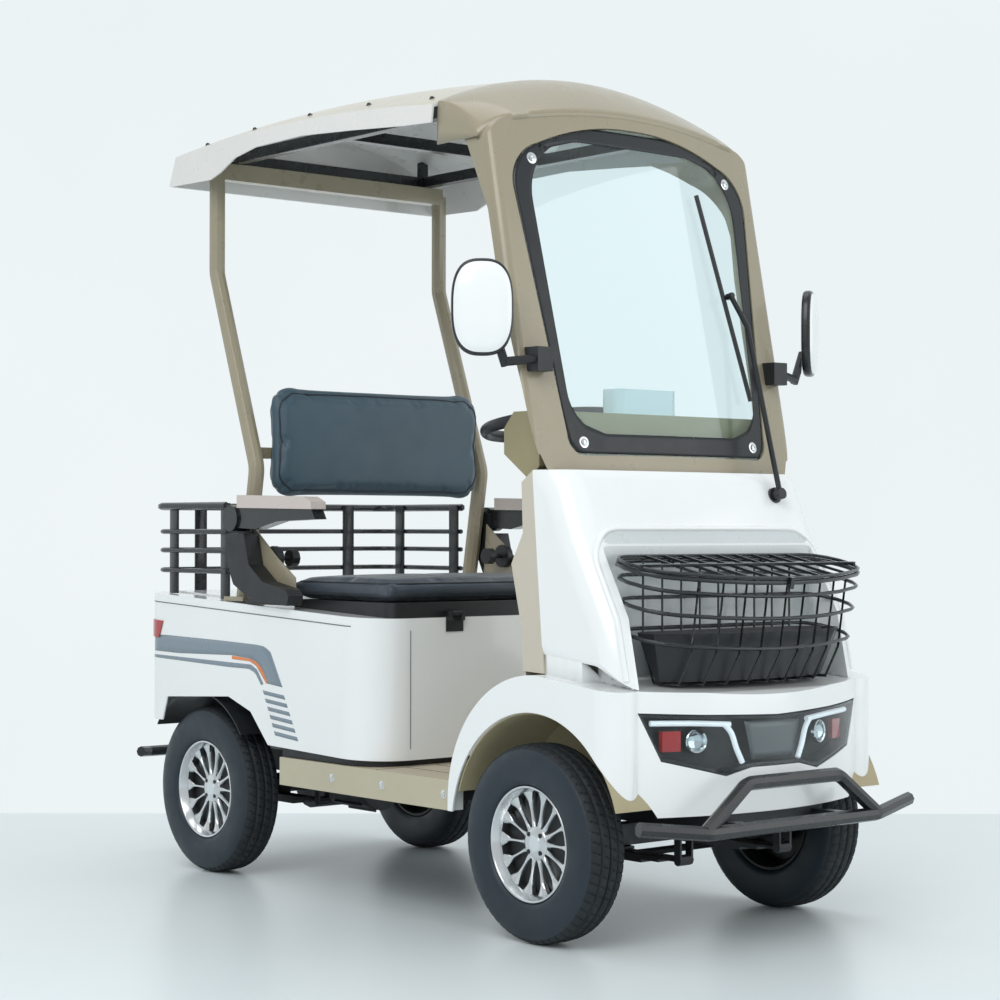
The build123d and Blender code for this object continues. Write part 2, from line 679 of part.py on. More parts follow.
def screen_outline(grow):
    """Front view (x, height up the slope) of the windscreen, as a face on the plane XY."""
    rise = 1 / cos(radians(SCREEN_TILT))
    v = lambda z: (z - SCREEN_FOOT_Z) * rise
    bottom = v(SCREEN_BOTTOM_Z) - grow
    top = v(SCREEN_TOP_Z) + grow
    shoulder = v(1592.0) + grow
    half_low = 262.0 + grow
    half_mid = SCREEN_HALF - 26 + grow
    half_top = SCREEN_HALF + 5 + grow
    corner = v(1000.0)
    left = [
        Line((0, bottom), (-half_low + 20, bottom)),
        ThreePointArc((-half_low + 20, bottom), (-half_low - 8, bottom + 14), (-half_low - 18, corner)),
        Line((-half_low - 18, corner), (-half_top, v(1500.0))),
        ThreePointArc((-half_top, v(1500.0)), (-half_top + 18, v(1556.0) + grow), (-half_top + 72, shoulder)),
        ThreePointArc((-half_top + 72, shoulder), (-130, top - 11), (0, top)),
    ]
    right = [half_edge.mirror(Plane.YZ) for half_edge in left]
    return make_face(Wire(left + right))


def glass_slab(grow, out0, out1):
    """A slab bent to the glass's plan radius between two distances from the glass plane."""
    at = tilt_plane(0)
    prism = extrude(at.location * (Pos(0, 0, -60) * screen_outline(grow)), amount=160, dir=tuple(at.z_dir))
    length = 1100
    big = at.location * (Pos(0, 300, -SCREEN_R + out1) * Rot(90, 0, 0) * Cylinder(SCREEN_R, length))
    small = at.location * (Pos(0, 300, -SCREEN_R + out1) * Rot(90, 0, 0) * Cylinder(SCREEN_R - (out1 - out0), length + 10))
    keep = at.location * (Pos(0, 300, 0) * Box(900, length - 20, 120))
    return prism & (big - small) & keep


def windscreen():
    return glass_slab(0, 0, GLASS_T)


PILLAR_REAR = ((-613.0, 926.0), (-570.0, 1094.0), (-495.0, 1349.0), (-473.0, 1449.0), (-409.0, 1583.0),
               (-353.0, 1667.0), (ROOF_JOINT_Y - CLEAR, 1690.0))


def canopy_plan(inset, z0, z1):
    half = CANOPY_HALF - inset
    front = 0.0
    depth = 420.0
    at = tilt_plane(10.0 - inset)
    sag = half ** 2 / (2 * SCREEN_R)
    edges = [
        Line((-half, -depth), (-half, -sag - 22)),
        ThreePointArc((-half, -sag - 22), (-half + 7, -sag - 7), (-half + 24, -sag - 1)),
        ThreePointArc((-half + 24, -sag - 1), (0, front), (half - 24, -sag - 1)),
        ThreePointArc((half - 24, -sag - 1), (half - 7, -sag - 7), (half, -sag - 22)),
        Line((half, -sag - 22), (half, -depth)),
        Line((half, -depth), (-half, -depth)),
    ]
    # The face lies across the slope, so its height axis is the slope's own direction
    up = Vector(0, sin(radians(SCREEN_TILT)), cos(radians(SCREEN_TILT)))
    base = Plane(origin=at.origin, x_dir=(1, 0, 0), z_dir=up)
    face = base.location * (mirror(make_face(Wire(edges)), about=Plane.XZ))
    face = face.moved(Location(up * (z0 - SCREEN_FOOT_Z)))
    return extrude(face, amount=z1 - z0, dir=tuple(up))


def canopy_top(inset):
    """Front view of the canopy with its round shoulders, extruded back and up along the header."""
    half = CANOPY_HALF - inset
    rise = radians(15.0)
    y0 = -720.0
    drop = (-540.0 - y0) * sin(rise) / cos(rise)
    shoulder = 1560.0 - drop
    crown = 1662.0 - inset - drop
    r = 112.0
    edges = [
        Line((-half, y0, 700), (-half, y0, shoulder)),
        ThreePointArc((-half, y0, shoulder), (-half + 26, y0, shoulder + 52 - inset * 0.5),
                      (-half + r - 28, y0, crown - 40)),
        ThreePointArc((-half + r - 28, y0, crown - 40), (0, y0, crown), (half - r + 28, y0, crown - 40)),
        ThreePointArc((half - r + 28, y0, crown - 40), (half - 26, y0, shoulder + 52 - inset * 0.5),
                      (half, y0, shoulder)),
        Line((half, y0, shoulder), (half, y0, 700)),
        Line((half, y0, 700), (-half, y0, 700)),
    ]
    direction = Vector(0, cos(rise), sin(rise))
    return extrude(make_face(Wire(edges)), amount=600, dir=tuple(direction))


def canopy_front():
    outer = canopy_plan(0, 700, 2000) & canopy_top(0)
    keep = side_prism([(-700.0, 926.0)] + list(PILLAR_REAR) + [(ROOF_JOINT_Y - CLEAR, 1900.0), (-700.0, 1900.0)],
                      -400, 400)
    shell = outer & keep
    at = tilt_plane(0)
    hole = extrude(at.location * (Pos(0, 0, -420) * screen_outline(-14.0)), amount=500, dir=tuple(at.z_dir))
    shell -= hole
    rebate = glass_slab(1.0, -CLEAR, 40)
    shell -= rebate
    hollow = side_prism([(-470.0, 1600.0), (-470.0, 1664.0), (-280.0, 1710.0), (-280.0, 1600.0)], -322, 322)
    return shell - hollow


# Roof: a doubly curved panel with flared side skirts
def roof_section(inset):
    """Cross section in the XZ plane at the roof's highest station."""
    half = ROOF_HALF - inset
    edge = ROOF_EDGE_Z - inset
    crown = ROOF_CROWN_Z - inset
    flare = 16.0
    low = 1560.0
    edges = [
        ThreePointArc((-half, 0, edge), (0, 0, crown), (half, 0, edge)),
        Line((half, 0, edge), (half + flare, 0, low)),
        Line((half + flare, 0, low), (-half - flare, 0, low)),
        Line((-half - flare, 0, low), (-half, 0, edge)),
    ]
    return make_face(Wire(edges))


def roof_solid(inset):
    """The section swung about a low axis across the cart, which gives the long curve."""
    pivot_z = ROOF_CROWN_Z - ROOF_LONG_R
    section = Pos(0, ROOF_PEAK_Y, 0) * roof_section(inset)
    axis = Axis((0, ROOF_PEAK_Y, pivot_z), (1, 0, 0))
    swing = degrees((ROOF_PEAK_Y - ROOF_JOINT_Y + 60) / ROOF_LONG_R)
    start = section.rotate(axis, swing)
    body = revolve(start, axis=Axis((0, ROOF_PEAK_Y, pivot_z), (-1, 0, 0)), revolution_arc=2 * swing)
    if inset:
        profile = [(ROOF_JOINT_Y - 50, 1500), (ROOF_JOINT_Y - 50, 1900), (ROOF_REAR_Y - inset - 14, 1900),
                   (ROOF_REAR_Y - inset - 14, 1760), (ROOF_REAR_Y - inset + 20, 1600), (ROOF_REAR_Y - inset + 20, 1500)]
    else:
        profile = [(ROOF_JOINT_Y, 1642.0), (ROOF_JOINT_Y, 1900), (ROOF_REAR_Y - 14, 1900), (ROOF_REAR_Y - 14, 1760),
                   (ROOF_REAR_Y + 20, ROOF_SKIRT_Z), (508, ROOF_SKIRT_Z - 4), (470, 1632), (411, 1660), (330, 1674),
                   (150, 1676), (-35, 1663), (-212, 1648)]
    return body & side_prism(profile, -440, 440)


def roof_panel():
    return roof_solid(0) - roof_solid(SKIN)


ROOF_TUBE = 26.0


def roof_frame():
    """The black rectangular-tube frame under the roof."""
    z0 = POST_TOP_Z + 20 + CLEAR
    z1 = z0 + ROOF_TUBE
    half = 300.0
    y0 = ROOF_JOINT_Y + 20
    y1 = POST_TOP_Y + 20
    t = ROOF_TUBE
    frame = block(-half, half, y0, y1, z0, z1) - block(-half + t, half - t, y0 + t, y1 - t, z0 - 1, z1 + 1)
    frame += block(-half + t, half - t, 120, 120 + t, z0, z1)
    pads = None
    for y in (y0, 120.0, y1 - t):
        for _, side in SIDES:
            x = side * (half - t / 2)
            pad = block(x - 10, x + 10, y + 3, y + 23, z1, 1850)
            pads = pad if pads is None else pads + pad
    return frame + (pads & roof_solid(SKIN + CLEAR))


# Rear posts: two bent tubes joined by the crossbar that carries the roof
CROSSBAR = 34.0
POST_KINK_LOW = (412.0, 950.0)
POST_KINK_HIGH_Z = 1412.0
BACK_BAR_Z = 985.0


def rear_posts():
    """Posts, the crossbar on top and the tube that holds the seat back."""
    foot_z = body_top_z(POST_FOOT_Y + 40) + CLEAR
    bar_y = POST_TOP_Y - CROSSBAR / 2
    posts = block(-POST_X, POST_X, bar_y, bar_y + CROSSBAR, POST_TOP_Z - 20, POST_TOP_Z + 20)
    back_y = BACK_FRONT_Y + BACK_T + CLEAR
    posts += block(-POST_X, POST_X, back_y, back_y + 26, BACK_BAR_Z - 13, BACK_BAR_Z + 13)
    for _, side in SIDES:
        x = side * POST_X
        posts += pipe([(x, POST_FOOT_Y, foot_z + 5), (x, POST_KINK_LOW[0], POST_KINK_LOW[1]),
                       (x, POST_TOP_Y, POST_KINK_HIGH_Z), (x, POST_TOP_Y, POST_TOP_Z)], POST_R, 60, 10)
        posts += block(x - 30, x + 30, POST_FOOT_Y - 40, POST_FOOT_Y + 40, foot_z, foot_z + 10)
    return posts


# White rear body: seat box and cargo base in one shell
def body_plan(inset, z0, z1):
    half = BODY_HALF - inset
    front = BOX_FRONT_Y + inset
    rear = BODY_REAR_Y - inset
    face = Pos(0, (front + rear) / 2) * Rectangle(2 * half, rear - front)
    face = fillet(face.vertices().filter_by(lambda v: v.Y < front + 1), BOX_CORNER_R - inset)
    face = fillet(face.vertices().filter_by(lambda v: v.Y > rear - 1), BODY_REAR_R - inset)
    return Pos(0, 0, z0) * extrude(face, amount=z1 - z0)


def body_top_z(y):
    share = (y - BOX_FRONT_Y) / (BODY_REAR_Y - BOX_FRONT_Y)
    return BODY_TOP_FRONT_Z + share * (BODY_TOP_REAR_Z - BODY_TOP_FRONT_Z)


def body_profile(drop, open_bottom):
    y0 = BOX_FRONT_Y - 20
    y1 = BODY_REAR_Y + 20
    top = [(y0, body_top_z(y0) - drop), (y1, body_top_z(y1) - drop)]
    if open_bottom:
        return side_prism([(y0, 250.0)] + top + [(y1, 250.0)], -400, 400)
    bottom = [(y1, REAR_PANEL_BOTTOM_Z), (750, REAR_PANEL_BOTTOM_Z), (728, 407), (462, 422), (371, 393), (322, 344),
              (300, BODY_BOTTOM_Z + 4), (y0, BODY_BOTTOM_Z - 8)]
    return side_prism(top + bottom, -400, 400)


LOAD_HALF = 300.0
LOAD_FRONT_Y = 530.0
LOAD_REAR_Y = 808.0
LOAD_LIFT = 3.0
HATCH = (262.0, 60.0, 250.0)


def rear_body():
    """The shell, with a hatch over the battery and a raised load platform behind the seat."""
    outer = body_plan(0, 200, 700) & body_profile(0, False)
    inner = body_plan(SKIN, 190, 690) & body_profile(SKIN, True)
    hatch_half, hatch_front, hatch_rear = HATCH
    shell = outer - inner - block(-hatch_half, hatch_half, hatch_front, hatch_rear, 600, 700)
    ends = (LOAD_FRONT_Y, LOAD_REAR_Y)
    top = [(y, body_top_z(y) + LOAD_LIFT) for y in ends]
    low = [(y, body_top_z(y) - 1) for y in reversed(ends)]
    return shell + side_prism(top + low, -LOAD_HALF, LOAD_HALF)


# Rear wheel arches: dark inner fenders under the cargo base
def inner_fenders():
    r = 232.0
    x0 = 236.0
    x1 = BODY_HALF - SKIN - CLEAR
    liner = ring_x(x0, x1, AXLE_R_Y, AXLE_Z, r, r - 3)
    liner += axle_cylinder(x0, x0 + 3, AXLE_R_Y, AXLE_Z, r)
    keep = block(0, 420, 300, 900, 336, 640)
    return both(liner & keep & body_plan(SKIN + CLEAR, 200, 700))


# Seat: a cushion on a lid that hinges up at its front edge
SEAT_BOTTOM_Z = 650.0
HINGE_Y = BOX_FRONT_Y - 7.0
HINGE_Z = BODY_TOP_FRONT_Z + 9.0
HINGE_X = 150.0
HINGE_PIN_R = 3.0
HINGE_R = 6.0


def seat_base():
    front = SEAT_FRONT_Y + 4
    lid = side_prism([(front, body_top_z(front) + CLEAR), (SEAT_REAR_Y, body_top_z(SEAT_REAR_Y) + CLEAR),
                      (SEAT_REAR_Y, SEAT_BOTTOM_Z), (front, SEAT_BOTTOM_Z)], -SEAT_HALF + 4, SEAT_HALF - 4)
    lid = fillet(lid.edges().filter_by(Axis.Z), 24)
    for _, side in SIDES:
        x = side * HINGE_X
        lid += axle_cylinder(x - 12, x + 12, HINGE_Y, HINGE_Z, HINGE_R)
        lid += block(x - 12, x + 12, HINGE_Y, front + 4, HINGE_Z + 1, HINGE_Z + 6)
        lid -= axle_cylinder(x - 13, x + 13, HINGE_Y, HINGE_Z, HINGE_PIN_R + RUN_GAP)
    return lid


def seat_hinges():
    """The fixed half of each hinge: a leaf on the seat box with two eyes and the pin."""
    hinges = []
    for _, side in SIDES:
        x = side * HINGE_X
        leaf = block(x - 24, x + 24, BOX_FRONT_Y - 3, BOX_FRONT_Y - CLEAR, HINGE_Z - 40, HINGE_Z - HINGE_R - 2)
        for ear in (-1, 1):
            x0, x1 = sorted((x + ear * (12 + CLEAR), x + ear * 22))
            leaf += block(x0, x1, HINGE_Y - 5, BOX_FRONT_Y - CLEAR, HINGE_Z - 16, HINGE_Z + 5)
        leaf += axle_cylinder(x - 20, x + 20, HINGE_Y, HINGE_Z, HINGE_PIN_R)
        hinges += leaf.solids()
    return Compound(hinges)


def seat_cushion():
    z0 = SEAT_BOTTOM_Z + CLEAR
    pad = block(-SEAT_HALF, SEAT_HALF, SEAT_FRONT_Y, SEAT_REAR_Y, z0, z0 + CUSHION_T)
    pad = fillet(pad.edges().filter_by(Axis.Z), 30)
    return chamfer(pad.edges().group_by(Axis.Z)[-1], 10)


def seat_back():
    pad = block(-BACK_HALF, BACK_HALF, BACK_FRONT_Y, BACK_FRONT_Y + BACK_T, BACK_BOTTOM_Z, BACK_TOP_Z)
    pad = fillet(pad.edges().filter_by(Axis.Y), 46)
    return chamfer(pad.edges().group_by(Axis.Y)[0], 14)


# Front bumper: a bent bar with a raised centre hoop
BUMPER_R = 14.0
REAR_BUMPER_R = 13.0


def bumper_stays(y0, y1, z):
    """Two square stays from the rails' ends to a bumper."""
    stays = None
    for _, side in SIDES:
        x0, x1 = sorted((side * (RAIL_X - 12), side * (RAIL_X + 12)))
        stay = block(x0, x1, y0, y1, z - 12, z + 12)
        stays = stay if stays is None else stays + stay
    return stays


def front_bumper():
    y = -OVERALL_LENGTH / 2 + BUMPER_R
    bar = pipe([(-381, -917, 256), (-237, y, 240), (237, y, 240), (381, -917, 256)], BUMPER_R, 40)
    hoop_bar = pipe([(-240, y + 3, 244), (-128, y + 6, 326), (128, y + 6, 326), (240, y + 3, 244)], BUMPER_R, 34)
    return bar + hoop_bar + bumper_stays(y + 6, RAIL_FRONT_Y - CLEAR, 240)


def rear_bumper():
    y = OVERALL_LENGTH / 2 - REAR_BUMPER_R
    bar = pipe([(-322, y - 14, 255), (-290, y, 253), (290, y, 253), (322, y - 14, 255)], REAR_BUMPER_R, 20)
    return bar + bumper_stays(RAIL_REAR_Y + CLEAR, y - 6, 254)


# Cargo rails: four tubes round the load space on flat posts
RAIL_ROWS = ((863, 9.0), (802, 6.0), (757, 6.0), (709, 6.0))
CARGO_X = 346.0
CARGO_Y = 826.0
CARGO_FRONT_Y = 510.0
FLAT_T = 6.0


def cargo_rails():
    """The rows' inner sides line up on the flat posts' outer faces."""
    pieces = []
    for z, r in RAIL_ROWS:
        flat = r * cos(radians(30))
        x = CARGO_X + flat
        y = CARGO_Y + flat
        row = pipe([(-x, CARGO_FRONT_Y, z), (-x, y, z), (x, y, z), (x, CARGO_FRONT_Y, z)], r, 50, 6)
        pieces += row.solids()
    flat_x = CARGO_X - CLEAR
    flat_y = CARGO_Y - CLEAR
    for _, side in SIDES:
        x0, x1 = sorted((side * (flat_x - FLAT_T), side * flat_x))
        for y in (755.0, CARGO_FRONT_Y + 20):
            post = block(x0, x1, y - 16, y + 16, body_top_z(y + 16) + CLEAR, RAIL_ROWS[0][0] + 6)
            pieces += post.solids()
        x0 = side * 225.0 - 16
        post = block(x0, x0 + 32, flat_y - FLAT_T, flat_y, body_top_z(CARGO_Y) + CLEAR, RAIL_ROWS[0][0] + 6)
        pieces += post.solids()
    return Compound(pieces)


# Armrests: a curved bracket bolted to the body and an arm that flips up about its round pivot
ARM_PIVOT_Y = 425.0
ARM_PIVOT_Z = 833.0
ARM_X0 = 362.0
ARM_X1 = 394.0
ARM_CHEEK_X = 354.0
ARM_EYE_R = 30.0
ARM_PIN_R = 8.0
SIDE_PLATE_X = 352.0
KNOB_AT = (330.0, 742.0)


def armrest_brackets():
    """A curved bracket with a cheek beside the arm and the pin that the arm turns on."""
    top = ARM_PIVOT_Z - ARM_EYE_R - 5
    outline = [(ARM_PIVOT_Y + 24, top), (ARM_PIVOT_Y + 27, 744), (ARM_PIVOT_Y - 6, 682), (340, 645), (204, 638),
               (196, 660), (210, 674), (300, 690), (356, 728), (376, top)]
    bracket = side_prism(outline, ARM_CHEEK_X, ARM_X1)
    cheek = side_prism([(ARM_PIVOT_Y + 24, top), (ARM_PIVOT_Y + 20, ARM_PIVOT_Z + 12), (ARM_PIVOT_Y, ARM_PIVOT_Z + 20),
                        (ARM_PIVOT_Y - 20, ARM_PIVOT_Z + 12), (ARM_PIVOT_Y - 30, top)],
                       ARM_CHEEK_X, ARM_X0 - CLEAR)
    pin = axle_cylinder(ARM_CHEEK_X, ARM_X1 - 4, ARM_PIVOT_Y, ARM_PIVOT_Z, ARM_PIN_R)
    foot = block(ARM_CHEEK_X, BODY_HALF - 4, 210, 400, body_top_z(400) + CLEAR, 648)
    return both(bracket + cheek + pin + foot)


def armrest(side):
    """The arm with its round eye, and the pad on top."""
    eye = axle_cylinder(ARM_X0, ARM_X1 + 6, ARM_PIVOT_Y, ARM_PIVOT_Z, ARM_EYE_R)
    arm = side_prism([(ARM_PIVOT_Y, 857), (110, 852), (96, 830), (240, 826), (330, 808), (ARM_PIVOT_Y, 812)],
                     ARM_X0, ARM_X1)
    pad_rear = ARM_PIVOT_Y - ARM_EYE_R - 2
    pad = side_prism([(pad_rear, 856.8), (pad_rear, 886), (130, 880), (100, 868), (100, 852.3), (110, 852.3)],
                     ARM_X0, ARM_X1 + 8)
    shape = eye + arm - axle_cylinder(ARM_X0 - 1, ARM_X1, ARM_PIVOT_Y, ARM_PIVOT_Z, ARM_PIN_R + RUN_GAP)
    return Compound([one(shape), one(pad)])


def seat_side_plates():
    """Beige plates between the armrest brackets and the posts, with the back's clamp knobs."""
    foot = body_top_z(430) + CLEAR
    outline = [(423, foot), (408, 822), (396, 812), (300, 742), (232, 700), (228, foot)]
    return both(side_prism(outline, SIDE_PLATE_X - 4, SIDE_PLATE_X))


def clamp_knobs():
    """A round clamp, a chrome rod and a star knob inside each side plate."""
    y, z = KNOB_AT
    inside = SIDE_PLATE_X - 4 - CLEAR
    clamp = axle_cylinder(inside - 16, inside, y, z, 28, 16)
    stem = axle_cylinder(inside - 46, inside - 16, y, z, 6, 8)
    star = axle_cylinder(inside - 66, inside - 46, y, z, 20, 10)
    return both(clamp + stem + star)


# Mirrors: a clamp and stalk on each pillar, and a round-cornered head
MIRROR_C = (469.0, -570.0, 1240.0)
MIRROR_TOE = 35.0
MIRROR_SIZE = (122.0, 32.0, 190.0)


def mirror_arm():
    clamp = block(316, 356, -604, -560, 1120, 1168)
    stem = rod((350, -592, 1144), (416, -573, 1136), 9)
    riser = rod((412, -572, 1128), (440, -572, 1196), 9)
    arm = clamp + stem + riser - mirror_blank(0)
    return arm - canopy_plan(-CLEAR, 1000, 1300)


def mirror_blank(grow):
    width, depth, height = MIRROR_SIZE
    head = Box(width + grow, depth + grow, height + grow)
    head = fillet(head.edges().filter_by(Axis.Y), 50)
    return Pos(*MIRROR_C) * Rot(0, 0, MIRROR_TOE) * head


def mirror_head():
    return mirror_blank(-2 * CLEAR)


# Basket in the niche: wire rows, upright wires, a plastic tub and a hinged wire lid
BASKET_HALF = 304.0
BASKET_REAR_Y = -742.0
BASKET_DEPTH = 202.0
BASKET_BOW_R = 620.0
BASKET_CORNER_R = 80.0
BASKET_DIP = 12.0
BASKET_TAPER = 0.15
RIM_WIRE_R = 5.0
ROW_WIRE_R = 4.0
WIRE_R = 3.0
RIM_REAR_Z = 748.0
ROW_REAR_Z = (721.0, 676.0, 616.0)
BASKET_FLOOR_Z = 512.0
TUB_TOP_Z = 610.0
BASKET_REAR_CORNER_R = 56.0
TUB_FLARE = 20.0
TUB_T = 3.0
LID_WIRE_R = 3.5
LID_EYE_X = 130.0
LID_PITCH = 50.0
WELD = 3.5
WIRE_PITCH = 52.0
UPRIGHT_DROP = 140.0


def basket_outline(inset):
    """Points of a closed plan outline with a bowed front; its rear edge lies on the X axis."""
    half = BASKET_HALF - inset
    front = -BASKET_DEPTH + inset
    r = BASKET_CORNER_R
    # The front corner's centre, and the angle at which its arc meets the bow
    bow_y = front + BASKET_BOW_R
    cx = half - r
    cy = bow_y - sqrt((BASKET_BOW_R - r) ** 2 - cx ** 2)
    meet = degrees(atan2(cy - bow_y, cx))
    rear_r = BASKET_REAR_CORNER_R
    right = arc_points((half - rear_r, -rear_r), rear_r, 90, 0, 3) + arc_points((cx, cy), r, 0, meet, 3)
    bow = arc_points((0, bow_y), BASKET_BOW_R, meet, -180 - meet, 6)
    left = [(-x, y) for x, y in reversed(right)]
    return [(0, 0)] + right[:-1] + bow + left[1:]


def basket_wire():
    """Welded wires: the rim, the rows under it and the uprights, which run down and under the tub."""
    dip = Rot(BASKET_DIP, 0, 0)
    wires = Pos(0, BASKET_REAR_Y, RIM_REAR_Z) * dip * hoop(basket_outline(0), RIM_WIRE_R)
    step = RIM_WIRE_R - ROW_WIRE_R
    for z in ROW_REAR_Z:
        outline = basket_outline((RIM_REAR_Z - z) * BASKET_TAPER - step)
        wires += Pos(0, BASKET_REAR_Y - step, z) * dip * hoop(outline, ROW_WIRE_R, 4)
    gap = RIM_WIRE_R + WIRE_R - WELD
    rear = BASKET_REAR_Y - gap
    drop = sin(radians(BASKET_DIP))
    for i in range(-4, 5):
        x = i * WIRE_PITCH
        reach = BASKET_DEPTH - x ** 2 / (2 * BASKET_BOW_R)
        top_y = BASKET_REAR_Y - reach * cos(radians(BASKET_DIP)) + gap
        top_z = RIM_REAR_Z - reach * drop
        low_z = top_z - UPRIGHT_DROP
        low_y = top_y + UPRIGHT_DROP * BASKET_TAPER
        wires += pipe([(x, top_y, top_z), (x, low_y, low_z), (x, low_y + 34, BASKET_FLOOR_Z),
                       (x, rear - 30, BASKET_FLOOR_Z), (x, rear, BASKET_FLOOR_Z + 70), (x, rear, RIM_REAR_Z)],
                      WIRE_R, 0, 4)
    return wires


def tub_section(half, front, rear, cut, z):
    """A plan section of the tub: cut corners and a front that follows the basket's bow."""
    wing = half - 40
    right = [(0, front), (wing / 2, front + (wing / 2) ** 2 / (2 * BASKET_BOW_R)),
             (wing, front + wing ** 2 / (2 * BASKET_BOW_R)), (half, front + half ** 2 / (2 * BASKET_BOW_R) + cut),
             (half, rear - cut), (half - cut, rear)]
    points = right + [(-x, y) for x, y in reversed(right) if x]
    return Pos(0, BASKET_REAR_Y, z) * make_face(Polyline(*points, close=True))


def basket_tub():
    """An open black tub inside the lower wires, with flared sides."""
    z0 = BASKET_FLOOR_Z + WIRE_R + CLEAR
    low = (228.0, -131.0, -44.0, 16.0)
    outer = extrude(tub_section(*low, z0), amount=TUB_TOP_Z - z0, taper=-TUB_FLARE)
    floor = offset(tub_section(*low, z0 + TUB_T), amount=-TUB_T, kind=Kind.INTERSECTION)
    return outer - extrude(floor, amount=TUB_TOP_Z - z0, taper=-TUB_FLARE)


def basket_lid():
    """A welded wire grid with two hinge eyes on the rim's rear and a latch ring in front."""
    lift = RIM_WIRE_R + LID_WIRE_R + CLEAR
    grid = Pos(0, 0, lift) * hoop(basket_outline(0), LID_WIRE_R)
    bar = LID_WIRE_R - 1
    for i in range(-4, 5):
        x = i * LID_PITCH
        front = -BASKET_DEPTH + x ** 2 / (2 * BASKET_BOW_R)
        grid += block(x - bar, x + bar, front, 0, lift - bar, lift + bar)
    half = BASKET_HALF
    top = lift + bar - 1
    grid += block(-half, half, -100, -100 + 2 * bar, top - 1, top + 2 * bar)
    # Eyes that turn on the rim, and the latch ring
    eye_r = RIM_WIRE_R + 2.5
    for _, side in SIDES:
        x = side * LID_EYE_X
        grid += axle_cylinder(x - 7, x + 7, 0, 0, eye_r, 12) + block(x - 7, x + 7, -eye_r, 0, 0, lift)
    for _, side in SIDES:
        x = side * LID_EYE_X
        grid -= axle_cylinder(x - 8, x + 8, 0, 0, RIM_WIRE_R + RUN_GAP)
    front = -BASKET_DEPTH - RIM_WIRE_R - 2 * CLEAR
    grid += block(-5, 5, front - 4, front + 5, lift - 3, lift + 3) + block(-5, 5, front - 4, front, lift - 20, lift)
    return Pos(0, BASKET_REAR_Y, RIM_REAR_Z) * Rot(BASKET_DIP, 0, 0) * grid


# Tail lamps: red lenses wrapped round the rear corners
def tail_lamps():
    lens = body_plan(-3.0, 200, 700) - body_plan(-CLEAR, 190, 710)
    keep = side_prism([(745, 588), (860, 592), (860, 548), (762, 548)], 250, 420)
    return both(lens & keep)


# Wiper: a spindle on a boss on the cowl, an arm and a blade in front of the glass
WIPER_X = 235.0
WIPER_V = -55.7
WIPER_OUT = 48.0


def wiper():
    """In the glass plane's own axes: across, up the slope and out from the glass."""
    at = tilt_plane(0)
    rise = 1 / cos(radians(SCREEN_TILT))
    tip_v = (1520.0 - SCREEN_FOOT_Z) * rise
    low_v = (1079.0 - SCREEN_FOOT_Z) * rise
    joint_v = (1302.0 - SCREEN_FOOT_Z) * rise
    kink_v = (1235.0 - SCREEN_FOOT_Z) * rise
    blade = rod((240.0, low_v, 11.0), (165.0, tip_v, 11.0), 5.0, 6)
    arm = pipe([(WIPER_X, WIPER_V, WIPER_OUT + 12), (248.0, kink_v, 26.0), (214.0, joint_v, 23.0)], 6.0, 0, 6)
    clip = rod((214.0, joint_v, 11.0), (214.0, joint_v, 29.0), 7.0, 6)
    spindle = rod((WIPER_X, WIPER_V, WIPER_OUT + CLEAR), (WIPER_X, WIPER_V, WIPER_OUT + 20), 12.0, 12)
    pin_hole = rod((WIPER_X, WIPER_V, WIPER_OUT - 1), (WIPER_X, WIPER_V, WIPER_OUT + 7), 5.0 + RUN_GAP, 0)
    return at.location * (blade + arm + clip + spindle - pin_hole)


def wiper_boss():
    """A boss that ends in the short pin the wiper turns on."""
    at = tilt_plane(0)
    boss = Pos(WIPER_X, WIPER_V, WIPER_OUT - 42) * extrude(RegularPolygon(17.0, 12), amount=42)
    pin = Pos(WIPER_X, WIPER_V, WIPER_OUT) * Cylinder(5.0, 12.0)
    cut = Pos(0, -CLEAR, 0) * cowl_solid(0)
    return at.location * (boss + pin) - cut


# Nodes
node("chassis_frame", chassis_frame())
node("floor_deck", floor_deck())
node("floor_sills", floor_sills())
node("front_axle", front_axle())
node("leaf_springs", leaf_springs())
node("rear_axle", rear_axle())
node("drive_motor", drive_motor())
node("battery_pack", battery_pack())
for name, side in SIDES:
    node("knuckle_" + name, knuckle(side))
node("tie_rod", tie_rod())
TYRE = tyre_shape()
RIM = rim_shape()
CORNERS = (("front", AXLE_F_Y, TRACK_FRONT / 2), ("rear", AXLE_R_Y, TRACK_REAR / 2))
for place, y, x in CORNERS:
    for name, side in SIDES:
        turn = Pos(side * x, y, AXLE_Z) * (Rot(0, 0, 0) if side > 0 else Rot(0, 0, 180))
        node("tyre_" + place + "_" + name, turn * TYRE)
        node("rim_" + place + "_" + name, turn * RIM)
node("steering_wheel", steering_wheel())
node("steering_column", steering_column())
node("nose_shell", nose_shell())
node("headlamp_lens", headlamp_lens())
node("headlamp_housing", headlamp_housing())
node("wheel_wells", wheel_wells())
node("cowl_shell", cowl_shell())
node("leg_shield", leg_shield())
node("dash_panel", dash_panel(), dash_pod())
node("windscreen", windscreen())
node("canopy_front", canopy_front())
node("roof_panel", roof_panel())
node("roof_frame", roof_frame())
node("rear_posts", rear_posts())
node("rear_body", rear_body())
node("inner_fenders", inner_fenders())
node("body_plinth", body_plinth())
node("seat_hinges", seat_hinges())
node("seat_base", seat_base())
node("seat_cushion", seat_cushion())
node("seat_back", seat_back())
node("front_bumper", front_bumper())
node("rear_bumper", rear_bumper())
node("cargo_rails", cargo_rails())
node("armrest_brackets", armrest_brackets())
for name, side in SIDES:
    arm = armrest(side)
    node("armrest_" + name, arm if side > 0 else mirror(arm, about=Plane.YZ))
node("seat_side_plates", seat_side_plates())
node("clamp_knobs", clamp_knobs())
node("mirror_arms", both(mirror_arm()))
